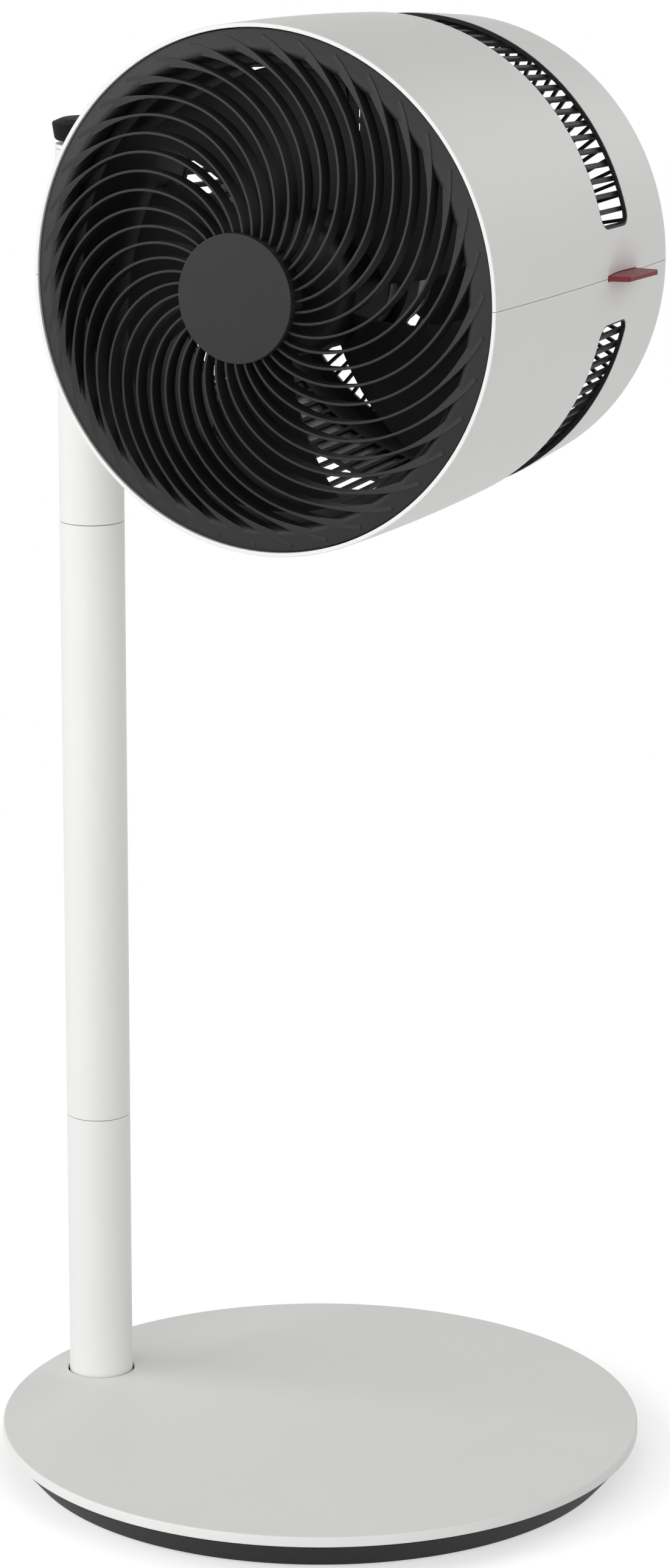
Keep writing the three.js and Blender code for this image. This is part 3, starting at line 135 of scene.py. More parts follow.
class Draft:
    """A mesh in the making, in millimetres from its sub-assembly's origin."""

    def __init__(self, origin: Point = (0.0, 0.0, 0.0)) -> None:
        """Starts an empty mesh at an origin in the row frame, in millimetres."""
        self.origin = Vector(origin)
        self.mesh = bmesh.new()

    def skin(self, loops: Iterable[Sequence[Point]], around: bool = True, wrap: bool = False,
             capped: bool = False) -> "Draft":
        """Joins loops of equal length by rows of quads.

        Args:
            loops: The loops, in order.
            around: Whether each loop runs back to its start.
            wrap: Whether the last loop is joined to the first.
            capped: Whether the first and last loop are filled by one face each.

        Returns:
            This draft.
        """
        rings = [[self.mesh.verts.new((self.origin + Vector(p)) * MM) for p in loop] for loop in loops]
        rows = list(zip(rings, rings[1:]))
        if wrap:
            rows.append((rings[-1], rings[0]))
        for near, far in rows:
            for i in range(len(near) if around else len(near) - 1):
                j = (i + 1) % len(near)
                self.mesh.faces.new((near[i], near[j], far[j], far[i]))
        if capped:
            self.mesh.faces.new(rings[0])
            self.mesh.faces.new(rings[-1])
        return self

    def turned(self, profile: Sequence[Flat], axis: Axis, segments: int = 96,
               centre: Point = (0.0, 0.0, 0.0)) -> "Draft":
        """Turns a profile of (radius, height) points round an axis.

        Args:
            profile: An outline that is closed, or that starts and ends on the axis.
            axis: Direction of the axis.
            segments: Steps round the axis.
            centre: A point on the axis.

        Returns:
            This draft.
        """
        on_axis = profile[0][0] == 0 and profile[-1][0] == 0
        shift = Vector(centre)
        loops = [[tuple(Vector(axis.spun(r, h, 2 * math.pi * k / segments)) + shift)
                  for k in range(segments)] for r, h in profile]
        return self.skin(loops, wrap=not on_axis)

    def prism(self, outline: Sequence[Flat], low: float, high: float) -> "Draft":
        """Extrudes an outline of (x, y) points from one height to another."""
        return self.skin([[(x, y, z) for x, y in outline] for z in (low, high)], capped=True)

    def solid(self, name: str, sharp: float = 35.0) -> bpy.types.Object:
        """Closes the draft and makes it an object.

        Args:
            name: The object's name.
            sharp: Edges that turn by more than this many degrees stay crisp.

        Returns:
            The object, linked to the scene.
        """
        bmesh.ops.remove_doubles(self.mesh, verts=self.mesh.verts, dist=MERGE_DISTANCE)
        bmesh.ops.dissolve_degenerate(self.mesh, edges=self.mesh.edges, dist=MERGE_DISTANCE)
        bmesh.ops.recalc_face_normals(self.mesh, faces=self.mesh.faces)
        data = bpy.data.meshes.new(name)
        self.mesh.to_mesh(data)
        self.mesh.free()
        data.shade_smooth()
        data.set_sharp_from_angle(angle=math.radians(sharp))
        made = bpy.data.objects.new(name, data)
        bpy.context.scene.collection.objects.link(made)
        return made


def carve(body: bpy.types.Object, *cutters: bpy.types.Object) -> bpy.types.Object:
    """Cuts the cutters out of a body and removes them."""
    for cutter in cutters:
        step = body.modifiers.new("cut", "BOOLEAN")
        step.object = cutter
        step.operation = "DIFFERENCE"
        step.solver = "EXACT"
    evaluated = body.evaluated_get(bpy.context.evaluated_depsgraph_get())
    carved = bpy.data.meshes.new_from_object(evaluated)
    body.modifiers.clear()
    body.data = carved
    carved.set_sharp_from_angle(angle=math.radians(35))
    for cutter in cutters:
        bpy.data.objects.remove(cutter)
    return body


def soften(body: bpy.types.Object, width: float, segments: int = 2) -> bpy.types.Object:
    """Rounds a piece's edges by a width in millimetres."""
    step = body.modifiers.new("round", "BEVEL")
    step.width = width * MM
    step.segments = segments
    step.limit_method = "ANGLE"
    step.angle_limit = math.radians(40)
    return body


# ---------------------------------------------------------------------------- finishes


def srgb(code: str) -> tuple[float, float, float, float]:
    """Turns an sRGB hex code such as #f2f2f0 into a linear colour."""
    shares = [int(code[i:i + 2], 16) / 255 for i in (1, 3, 5)]
    linear = [s / 12.92 if s <= 0.04045 else ((s + 0.055) / 1.055) ** 2.4 for s in shares]
    return (linear[0], linear[1], linear[2], 1.0)


def add_node(tree: bpy.types.NodeTree, kind: str, inputs: dict | None = None,
             **settings: object) -> bpy.types.Node:
    """Adds a node with its settings, values and links.

    Args:
        tree: The node tree.
        kind: The node's type.
        inputs: A value, or another node's output, for each input by name or index.
        **settings: The node's own properties.

    Returns:
        The node.
    """
    node = tree.nodes.new(kind)
    for key, value in settings.items():
        setattr(node, key, value)
    for key, value in (inputs or {}).items():
        if isinstance(value, bpy.types.NodeSocket):
            tree.links.new(value, node.inputs[key])
        else:
            node.inputs[key].default_value = value
    return node


class Grain(Enum):
    """How a surface was made, as the stretch of its grain along x, y and z."""

    MOULDED = (1.0, 1.0, 1.0)
    TURNED_ON_X = (12.0, 1.0, 1.0)
    TURNED_ON_Y = (1.0, 12.0, 1.0)
    TURNED_ON_Z = (1.0, 1.0, 12.0)


@dataclass(frozen=True)
class Finish:
    """A real material and how its surface was made.

    Attributes:
        name: The material's name.
        colour: Its colour, as sRGB hex.
        shade: The colour that its slow variation leans to.
        edge_wear_and_highlight: The lighter colour of convex edges: partly wear where hands and cloths rub, partly a
            painted highlight.
        roughness: Lowest and highest roughness.
        grain_size: Size of the surface grain, in millimetres.
        relief: Depth of the grain, in millimetres.
        grain: How the surface was made.
        metallic: 1 for bare metal.
        ior: Index of refraction.
        sheen: Soft glow of fibres.
        patch: Size of the slow variation, in millimetres.
    """

    name: str
    colour: str
    shade: str
    edge_wear_and_highlight: str
    roughness: tuple[float, float]
    grain_size: float
    relief: float
    grain: Grain = Grain.MOULDED
    metallic: float = 0.0
    ior: float = 1.5
    sheen: float = 0.0
    patch: float = 60.0

    def material(self) -> bpy.types.Material:
        """Gives the material, which is made once."""
        found = bpy.data.materials.get(self.name)
        return found if found else self.made()

    def made(self) -> bpy.types.Material:
        """Makes the material from its nodes."""
        material = bpy.data.materials.new(self.name)
        material.use_nodes = True
        tree = material.node_tree
        tree.nodes.clear()
        place = add_node(tree, "ShaderNodeTexCoord").outputs["Object"]
        stretched = add_node(tree, "ShaderNodeMapping", {"Vector": place, "Scale": self.grain.value})
        slow = add_node(tree, "ShaderNodeTexNoise", {
            "Vector": place, "Scale": 1 / (self.patch * MM), "Detail": 3.0, "Roughness": 0.55})
        fine = add_node(tree, "ShaderNodeTexNoise", {
            "Vector": stretched.outputs[0], "Scale": 1 / (self.grain_size * MM), "Detail": 2.0,
            "Roughness": 0.6})
        lean = add_node(tree, "ShaderNodeMapRange", {
            "Value": slow.outputs["Fac"], "From Min": 0.3, "From Max": 0.7})
        colour = add_node(tree, "ShaderNodeMix", {
            0: lean.outputs[0], 6: srgb(self.colour), 7: srgb(self.shade)}, data_type="RGBA")
        # Convex edges lean to the lighter edge colour in patches: partly rubbed wear, partly a painted highlight.
        ridge = add_node(tree, "ShaderNodeMapRange", {
            "Value": add_node(tree, "ShaderNodeNewGeometry").outputs["Pointiness"],
            "From Min": 0.53, "From Max": 0.62})
        wear_and_highlight_mask = add_node(tree, "ShaderNodeMath", {
            0: ridge.outputs[0], 1: slow.outputs["Fac"]}, operation="MULTIPLY")
        wear_and_highlight_colour = add_node(tree, "ShaderNodeMix", {
            0: wear_and_highlight_mask.outputs[0], 6: colour.outputs[2], 7: srgb(self.edge_wear_and_highlight)}, data_type="RGBA")
        gloss = add_node(tree, "ShaderNodeMapRange", {
            "Value": fine.outputs["Fac"], "From Min": 0.25, "From Max": 0.75,
            "To Min": self.roughness[0], "To Max": self.roughness[1]})
        bump = add_node(tree, "ShaderNodeBump", {
            "Height": fine.outputs["Fac"], "Strength": 0.6, "Distance": self.relief * MM})
        surface = add_node(tree, "ShaderNodeBsdfPrincipled", {
            "Base Color": wear_and_highlight_colour.outputs[2], "Roughness": gloss.outputs[0],
            "Metallic": self.metallic, "IOR": self.ior, "Sheen Weight": self.sheen,
            "Normal": bump.outputs[0]})
        add_node(tree, "ShaderNodeOutputMaterial", {"Surface": surface.outputs[0]})
        return material


# Satin ABS, moulded in a finely spark-eroded tool: even white with a soft, wide highlight.
WHITE_ABS = Finish("satin_white_ABS", "#f0f0ee", "#eeeeec", "#f4f4f2", (0.42, 0.54), 0.7, 0.012)
# Powder-coated steel tube: the same white, with the faint orange peel of baked powder.
WHITE_POWDER = Finish("white_powder_coat", "#efefed", "#ededeb", "#f3f3f1", (0.38, 0.5), 1.6, 0.01)
# Glass-filled polypropylene, satin black: dark grey in the light, near black in its hollows.
BLACK_PP = Finish("satin_black_polypropylene", "#1a1a1a", "#171717", "#232323", (0.48, 0.62), 0.8, 0.015,
                  ior=1.42)
# The same black with the dull skin of an inside part.
BLACK_PP_INNER = Finish("matt_black_polypropylene", "#171717", "#131313", "#1d1d1d", (0.55, 0.7), 1.0, 0.02,
                        ior=1.42)
# Black ABS of the base skirt, satin; its colour is painted darker than the grille's, a painted shade for a face that
# looks at the floor.
BLACK_ABS_PAINTED_SHADE = Finish("satin_black_ABS_painted_shade", "#0e0e0e", "#0c0c0c", "#161616", (0.5, 0.64), 0.8, 0.015, ior=1.3)
# Black soft-touch lacquer on the knob: the dullest black of the fan, without a clear highlight.
SOFT_TOUCH = Finish("black_soft_touch_lacquer", "#080808", "#060606", "#101010", (0.62, 0.78), 0.6, 0.012,
                    ior=1.24)
# Crimson polycarbonate, semi-gloss: a clear red; its edges are painted a lighter red, partly as wear and partly as a
# painted highlight.
CRIMSON_PC = Finish("crimson_polycarbonate", "#7a0f20", "#6e0d1c", "#9c2a3c", (0.4, 0.52), 1.0, 0.006, ior=1.42)
# Acetal, grey: waxy and even.
GREY_POM = Finish("grey_acetal", "#6f7173", "#66686a", "#7c7e80", (0.38, 0.5), 1.0, 0.008, ior=1.48)
# Zinc-plated steel, turned: bright, with fine rings round its axis.
TURNED_STEEL = Finish("zinc_plated_steel", "#b9bbbd", "#a6a9ab", "#cfd1d2", (0.24, 0.4), 1.2, 0.01,
                      Grain.TURNED_ON_X, 1.0, patch=25.0)
SHAFT_STEEL = Finish("ground_shaft_steel", "#bfc1c2", "#adb0b2", "#d2d3d4", (0.18, 0.32), 1.0, 0.006,
                     Grain.TURNED_ON_Y, 1.0, patch=25.0)
TUBE_STEEL = Finish("drawn_tube_steel", "#aeb0b1", "#9b9ea0", "#c3c4c5", (0.3, 0.45), 1.2, 0.01,
                    Grain.TURNED_ON_Z, 1.0, patch=30.0)
# Die-cast zinc, bare: soft grey with cloudy flow marks.
CAST_ZINC = Finish("die_cast_zinc", "#9a9da0", "#84878a", "#b4b6b8", (0.38, 0.56), 2.0, 0.03, metallic=1.0, patch=18.0)
# Grey cast iron as it leaves the sand: dark, grainy and dull.
CAST_IRON = Finish("cast_iron", "#4d4f51", "#3d3f41", "#65676a", (0.6, 0.8), 1.6, 0.12, metallic=1.0, patch=22.0)
# Drawn and plated motor can: satin with faint draw lines.
MOTOR_CAN = Finish("plated_motor_can", "#8a8d90", "#777a7d", "#a0a3a5", (0.32, 0.48), 1.4, 0.012,
                   Grain.TURNED_ON_Y, 1.0, patch=25.0)
# Natural rubber of the foot: black, dry and slightly dusty.
RUBBER = Finish("foot_rubber", "#1b1b1a", "#232322", "#2c2c2b", (0.78, 0.92), 1.1, 0.04, ior=1.52, patch=20.0)
# Pressed wool felt: warm white, matted fibres with a soft glow at the rim.
FELT = Finish("pressed_wool_felt", "#e6e3da", "#d9d5c9", "#efede6", (0.9, 1.0), 0.9, 0.25, sheen=0.4, patch=9.0)
# Glass-epoxy board under green solder resist: dark green with a wet look.
SOLDER_RESIST = Finish("green_solder_resist", "#22573a", "#1b4a31", "#3b7a55", (0.2, 0.34), 3.0, 0.02, patch=12.0)


def dress(node: str, finish: Finish) -> None:
    """Gives a carried-over CAD node its finish."""
    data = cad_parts[node].data
    data.materials.clear()
    data.materials.append(finish.material())
    log.info("CAD node %s wears %s", node, finish.name)


def place(piece: bpy.types.Object, body: str, slot: str, finish: Finish, *replaced: str) -> bpy.types.Object:
    """Finishes a piece and seats it on its body.

    Args:
        piece: The piece, in the row frame.
        body: The CAD body that it rides on.
        slot: Not used; the record's material slot.
        finish: Its finish.
        *replaced: The CAD nodes that it stands for.

    Returns:
        The piece.
    """
    piece.data.materials.clear()
    piece.data.materials.append(finish.material())
    even = piece.modifiers.new("even_normals", "WEIGHTED_NORMAL")
    even.keep_sharp = True
    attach(piece, body)
    if replaced:
        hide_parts(*replaced)
    log.info("%s rides on %s", piece.name, body)
    return piece


def centre_of(node: str) -> Vector:
    """Gives the middle of a CAD node's box, in millimetres."""
    low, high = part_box(node)
    return (low + high) / 2 / MM


POLE_AXIS = centre_of("pole_middle").x
DRUM_AXIS = centre_of("motor_shaft")
DRUM_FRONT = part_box("shell_upper")[0].y / MM
HEAD_ORIGIN: Point = (DRUM_AXIS.x, DRUM_FRONT, DRUM_AXIS.z)
POLE_ORIGIN: Point = (POLE_AXIS, 0.0, 0.0)


# ---------------------------------------------------------------------------- base


@dataclass
class Base:
    """Heavy disc base: white cover, dark skirt, foot ring, inlet and screws."""

    radius: float = 164.0
    height: float = 21.4
    rim_height: float = 5.4
    edge_round: float = 0.9
    wall: float = 2.5
    gap: float = 0.3
    pole_hole: float = 17.6
    skirt_foot: float = 151.0
    skirt_floor: float = 3.5
    skirt_wall: float = 2.6
    shoulder_inset: float = 0.9
    lip: float = 2.2
    foot_radius: float = 121.0
    foot_width: float = 9.0
    foot_height: float = 1.5
    post_circle: float = 138.0
    post_radius: float = 4.6
    screw_head: float = 3.6
    screw_head_height: float = 1.7
    screw_radius: float = 1.6
    screw_length: float = 10.0
    inlet_width: float = 14.0
    inlet_height: float = 8.6
    inlet_z: float = 10.0
    inlet_bore: float = 3.1
    segments: int = 192

    @property
    def rim_bottom(self) -> float:
        """Height of the cover's lower edge."""
        return self.height - self.rim_height

    def circle(self, centre_x: float, radius: float, height: float) -> Loop:
        """Gives a level circle round a point on the X axis."""
        step = 2 * math.pi / self.segments
        return [(centre_x + radius * math.cos(step * k), radius * math.sin(step * k), height)
                for k in range(self.segments)]

    def posts(self) -> list[Flat]:
        """Gives the places of the three screw posts."""
        turns = [2 * math.pi * i / 3 for i in range(3)]
        return [(self.post_circle * math.cos(a), self.post_circle * math.sin(a)) for a in turns]

    def cover(self) -> bpy.types.Object:
        """Makes the lid: one skin from the pole's hole over the rim and back under the top."""
        inner = self.radius - self.wall
        ceiling = self.height - self.wall
        hole_round = 0.5
        rim = rounded([
            (inner - 20, self.height, 0), (self.radius, self.height, self.edge_round),
            (self.radius, self.rim_bottom, 0.6), (inner, self.rim_bottom, 0.3),
            (inner, ceiling, 0.6), (inner - 20, ceiling, 0)], closed=False, steps=6)
        mouth = rounded([
            (self.pole_hole + 3, ceiling, 0), (self.pole_hole, ceiling, 0.3),
            (self.pole_hole, self.height, hole_round), (self.pole_hole + 3, self.height, 0)],
            closed=False, steps=5)
        loops = [self.circle(POLE_AXIS, r, z) for r, z in mouth]
        loops += [self.circle(0, r, z) for r, z in rim[1:-1]]
        draft = Draft().skin(loops, wrap=True)
        floor_top = self.foot_height + self.skirt_floor + self.gap
        for x, y in self.posts():
            draft.turned([(self.screw_radius + self.gap, floor_top), (self.post_radius, floor_top),
                          (self.post_radius, ceiling + 0.4), (self.screw_radius + self.gap, ceiling + 0.4)],
                         Axis.Z, 24, (x, y, 0))
        return draft.solid("base_lid")

    def skirt(self) -> bpy.types.Object:
        """Makes the dark tray whose tapered wall shows under the rim."""
        top_radius = self.radius - self.wall - self.gap
        floor_top = self.foot_height + self.skirt_floor
        lip_top = self.rim_bottom + self.lip
        profile = rounded([
            (0, self.foot_height, 0), (self.skirt_foot, self.foot_height, 1.4),
            (self.radius - self.shoulder_inset, self.rim_bottom - self.gap, 0.3),
            (top_radius, self.rim_bottom - self.gap, 0.1), (top_radius, lip_top, 0.3),
            (top_radius - self.skirt_wall, lip_top, 0.3),
            (top_radius - self.skirt_wall, self.rim_bottom, 0),
            (self.skirt_foot - self.skirt_wall + self.skirt_floor, floor_top, 1.0),
            (0, floor_top, 0)], closed=False)
        tray = Draft().turned(profile, Axis.Z, self.segments).solid("base_skirt_blank")
        tray.name = "base_skirt"
        cutters = []
        recess = self.foot_height + self.screw_head_height + 2 * self.gap
        holes = [(x, y, self.screw_radius, self.screw_head) for x, y in self.posts()]
        holes.append((POLE_AXIS, 0.0, 4.0, 7.0))
        for x, y, radius, head in holes:
            step = [(0, -1), (head + self.gap, -1), (head + self.gap, recess),
                    (radius + self.gap, recess), (radius + self.gap, self.height), (0, self.height)]
            cutters.append(Draft().turned(step, Axis.Z, 32, (x, y, 0)).solid("hole"))
        half = self.inlet_width / 2 + self.gap
        rise = self.inlet_height / 2 + self.gap
        window = rounded([(-half, self.inlet_z - rise, 1), (half, self.inlet_z - rise, 1),
                          (half, self.inlet_z + rise, 1), (-half, self.inlet_z + rise, 1)])
        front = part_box("power_inlet")[0].y / MM - self.gap
        slot = Draft().skin([[(x, y, z) for x, z in window] for y in (front, self.radius * 2)], capped=True)
        cutters.append(slot.solid("inlet_window"))
        return carve(tray, *cutters)

    def foot(self) -> bpy.types.Object:
        """Makes the rubber ring with its rounded running edge."""
        half = self.foot_width / 2
        low, high = 0.0, self.foot_height - self.gap
        profile = rounded([
            (self.foot_radius - half, low, 0.5), (self.foot_radius + half, low, 0.5),
            (self.foot_radius + half, high, 0.1), (self.foot_radius - half, high, 0.1)])
        return Draft().turned(profile, Axis.Z, self.segments).solid("rubber_foot")

    def inlet(self) -> bpy.types.Object:
        """Makes the low-voltage socket with its bore; its centre pin is made apart."""
        low, high = (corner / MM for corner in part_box("power_inlet"))
        outline = rounded([(low.x, low.z, 0.8), (high.x, low.z, 0.8), (high.x, high.z, 0.8), (low.x, high.z, 0.8)])
        block = Draft().skin([[(x, y, z) for x, z in outline] for y in (low.y, high.y)], capped=True).solid("inlet_socket")
        depth = high.y - 11
        bore = Draft().turned(
            [(0, depth), (self.inlet_bore, depth), (self.inlet_bore, high.y - 1),
             (self.inlet_bore + 1.2, high.y + 0.3), (0, high.y + 0.3)], Axis.Y, 40, (0, 0, self.inlet_z)).solid("bore")
        return soften(carve(block, bore), 0.3)

    def inlet_pin(self) -> bpy.types.Object:
        """Makes the socket's centre pin with its rounded tip."""
        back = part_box("power_inlet")[1].y / MM
        profile = rounded([(0, back - 12, 0), (0.9, back - 12, 0), (0.9, back - 2, 0.5), (0, back - 2, 0)], closed=False)
        return Draft().turned(profile, Axis.Y, 24, (0, 0, self.inlet_z)).solid("inlet_pin")

    def screw(self, number: int, x: float, y: float) -> bpy.types.Object:
        """Makes a pan-head screw with a cross recess, seen from below."""
        head_low = self.foot_height + self.gap
        head_high = head_low + self.screw_head_height
        tip = head_high + self.screw_length
        profile = rounded([
            (0, head_low, 0), (self.screw_head, head_low, 0.9), (self.screw_head, head_high, 0.1),
            (self.screw_radius, head_high, 0.1), (self.screw_radius, tip - 1.5, 0.3), (0, tip, 0)], closed=False)
        screw = Draft().turned(profile, Axis.Z, 36, (x, y, 0)).solid(f"cross_screw_{number}")
        arms = []
        for long, wide in ((1.9, 0.42), (0.42, 1.9)):
            bar = [(x - long, y - wide), (x + long, y - wide), (x + long, y + wide), (x - long, y + wide)]
            arms.append(Draft().prism(bar, head_low - 1, head_low + 1.0).solid("recess"))
        return carve(screw, *arms)

    def pole_bolt(self) -> bpy.types.Object:
        """Makes the bolt that holds the pole, with its hexagon socket."""
        low, high = (corner.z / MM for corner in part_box("pole_bolt"))
        head_high = low + self.screw_head_height
        profile = rounded([(0, low, 0), (7, low, 0.5), (7, head_high, 0.1), (4, head_high, 0.2),
                           (4, high, 0.6), (0, high, 0)], closed=False)
        bolt = Draft().turned(profile, Axis.Z, 48, POLE_ORIGIN).solid("socket_bolt")
        key = [(POLE_AXIS + 2.6 * math.cos(math.pi * k / 3), 2.6 * math.sin(math.pi * k / 3)) for k in range(6)]
        return carve(bolt, Draft().prism(key, low - 1, low + 1.0).solid("key"))

    def build(self) -> None:
        """Builds and dresses the base."""
        place(self.cover(), "stand", "white_shell", WHITE_ABS, "base_cover")
        # The skirt's black holds painted shade: darker than the grille for facing the floor.
        place(self.skirt(), "stand", "black_plastic", BLACK_ABS_PAINTED_SHADE, "base_tray")
        place(self.foot(), "stand", "rubber", RUBBER, "foot_ring")
        place(self.inlet(), "stand", "black_plastic", BLACK_ABS_PAINTED_SHADE, "power_inlet")
        place(self.inlet_pin(), "stand", "steel", SHAFT_STEEL)
        for i, (x, y) in enumerate(self.posts(), start=1):
            place(self.screw(i, x, y), "stand", "steel", TUBE_STEEL, f"base_screw_{i}")
        place(self.pole_bolt(), "stand", "steel", TUBE_STEEL, "pole_bolt")
        dress("base_weight", CAST_IRON)
        dress("control_board", SOLDER_RESIST)
        dress("pole_socket", CAST_ZINC)


# ---------------------------------------------------------------------------- pole and knob


@dataclass
class Pole:
    """Three lengths of white tube with their joints, and the cap on top."""

    radius: float = 16.6
    wall: float = 2.0
    edge_round: float = 0.45
    axle_hole: float = 7.3
    cap_round: float = 0.6
    segments: int = 96

    def tube(self, node: str, name: str) -> bpy.types.Object:
        """Makes the tube that stands for a CAD node, with its ends eased."""
        low, high = (corner.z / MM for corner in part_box(node))
        bore = self.radius - self.wall
        profile = rounded([(bore, low, 0.2), (self.radius, low, self.edge_round),
                           (self.radius, high, self.edge_round), (bore, high, 0.2)], steps=4)
        return Draft(POLE_ORIGIN).turned(profile, Axis.Z, self.segments).solid(name)

    def upper_tube(self) -> bpy.types.Object:
        """Makes the upper tube with the hole for the tilt axle."""
        tube = self.tube("pole_upper", "upper_tube")
        hole = [(0, 0), (self.axle_hole, 0), (self.axle_hole, self.radius * 2), (0, self.radius * 2)]
        origin = (POLE_AXIS, 0.0, DRUM_AXIS.z)
        return carve(tube, Draft(origin).turned(hole, Axis.X, 48).solid("axle_hole"))

    def cap(self) -> bpy.types.Object:
        """Makes the plug that closes the tube under the knob."""
        low, high = (corner.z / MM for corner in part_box("pole_cap"))
        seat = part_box("pole_upper")[1].z / MM + 0.3
        plug = self.radius - self.wall - 0.3
        profile = rounded([
            (3.2, seat - 2.3, 0), (8.3, seat - 2.3, 0.2), (8.3, low, 0.2), (plug, low, 0.4),
            (plug, seat, 0.1), (self.radius, seat, 0.3), (self.radius, high, self.cap_round),
            (3.2, high, 0.3)])
        return Draft(POLE_ORIGIN).turned(profile, Axis.Z, self.segments).solid("tube_cap")

    def build(self) -> None:
        """Builds and dresses the pole."""
        place(self.tube("pole_lower", "lower_tube"), "stand", "white_shell", WHITE_POWDER, "pole_lower")
        place(self.tube("pole_middle", "middle_tube"), "stand", "white_shell", WHITE_POWDER, "pole_middle")
        place(self.upper_tube(), "column", "white_shell", WHITE_POWDER, "pole_upper")
        place(self.cap(), "column", "white_shell", WHITE_ABS, "pole_cap")
        dress("pole_joint_sleeve", TUBE_STEEL)
        dress("swivel_bush", GREY_POM)
        dress("swivel_spigot", TUBE_STEEL)


@dataclass
class Knob:
    """Flared rotary knob with a crowned top, and the encoder under it."""

    bottom_radius: float = 16.6
    top_radius: float = 18.0
    side_height: float = 8.6
    crown: float = 3.4
    crown_radius: float = 13.0
    wall: float = 2.2
    boss_radius: float = 6.0
    shaft_radius: float = 2.9
    travel: float = 1.2

    def cap(self) -> bpy.types.Object:
        """Makes the knob in one turning, crown to boss."""
        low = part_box("knob")[0].z / MM
        side = low + self.side_height
        top = side + self.crown
        inner = self.bottom_radius - self.wall
        grip = self.shaft_radius + 0.3
        profile = rounded([
            (0, top, 0), (self.crown_radius, top - 0.9, 3.0), (self.top_radius, side + 0.4, 1.1),
            (self.bottom_radius, low, 2.2), (inner, low, 0.4), (inner, side - self.wall, 0.8),
            (self.boss_radius, side - self.wall, 0.4), (self.boss_radius, low + self.travel, 0.3),
            (grip, low + self.travel, 0.2), (grip, side - self.wall + 0.3, 0),
            (0, side - self.wall + 0.3, 0)], closed=False, steps=6)
        return Draft(POLE_ORIGIN).turned(profile, Axis.Z, 96).solid("speed_knob")

    def build(self) -> None:
        """Builds and dresses the knob."""
        place(self.cap(), "knob", "black_plastic", SOFT_TOUCH, "knob")
        dress("knob_shaft", TUBE_STEEL)
        dress("encoder_rotor", GREY_POM)
        dress("encoder_body", BLACK_PP_INNER)


# ---------------------------------------------------------------------------- tilt pivot


@dataclass
class TiltPivot:
    """Axle through the pole that carries the drum, with its collar, washer and nut."""

    axle_radius: float = 7.0
    collar_radius: float = 12.0
    pole_radius: float = 16.9

    def collar(self) -> bpy.types.Object:
        """Makes the spacer that is hollowed to the pole's curve."""
        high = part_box("pivot_collar")[1].x / MM - POLE_AXIS
        bore = self.axle_radius + 0.3
        profile = rounded([(bore, 0, 0), (self.collar_radius, 0, 0), (self.collar_radius, high, 0.3), (bore, high, 0.3)])
        origin = (POLE_AXIS, 0.0, DRUM_AXIS.z)
        collar = Draft(origin).turned(profile, Axis.X, 72).solid("tilt_collar")
        tube = [(0, -40), (self.pole_radius, -40), (self.pole_radius, 40), (0, 40)]
        return carve(collar, Draft(origin).turned(tube, Axis.Z, 96).solid("tube_hollow"))

    def axle(self) -> bpy.types.Object:
        """Makes the hollow axle with its threaded end."""
        low, high = (corner.x / MM - POLE_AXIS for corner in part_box("pivot_axle"))
        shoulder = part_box("friction_washer")[1].x / MM - POLE_AXIS
        thread: list[Corner] = []
        pitch = 0.8
        turns = int((high - shoulder) / pitch)
        for i in range(turns):
            start = shoulder + i * pitch
            thread += [(4.6, start + 0.1, 0), (5.0, start + pitch / 2, 0)]
        profile = rounded([(3.0, low, 0.3), (7.0, low, 0.4), (7.0, shoulder, 0.2), *thread, (4.6, high, 0.2), (3.0, high, 0.2)])
        return Draft((POLE_AXIS, 0.0, DRUM_AXIS.z)).turned(profile, Axis.X, 48).solid("tilt_axle")

    def build(self) -> None:
        """Builds and dresses the pivot."""
        place(self.collar(), "column", "black_plastic", BLACK_PP, "pivot_collar")
        place(self.axle(), "column", "steel", TURNED_STEEL, "pivot_axle")
        dress("pivot_block", CAST_ZINC)
        dress("friction_washer", TURNED_STEEL)
        dress("tilt_nut", TURNED_STEEL)
        dress("tilt_bracket", CAST_ZINC)


# ---------------------------------------------------------------------------- drum shells


class Side(Enum):
    """Upper or lower half of the drum."""

    UPPER = 1
    LOWER = -1


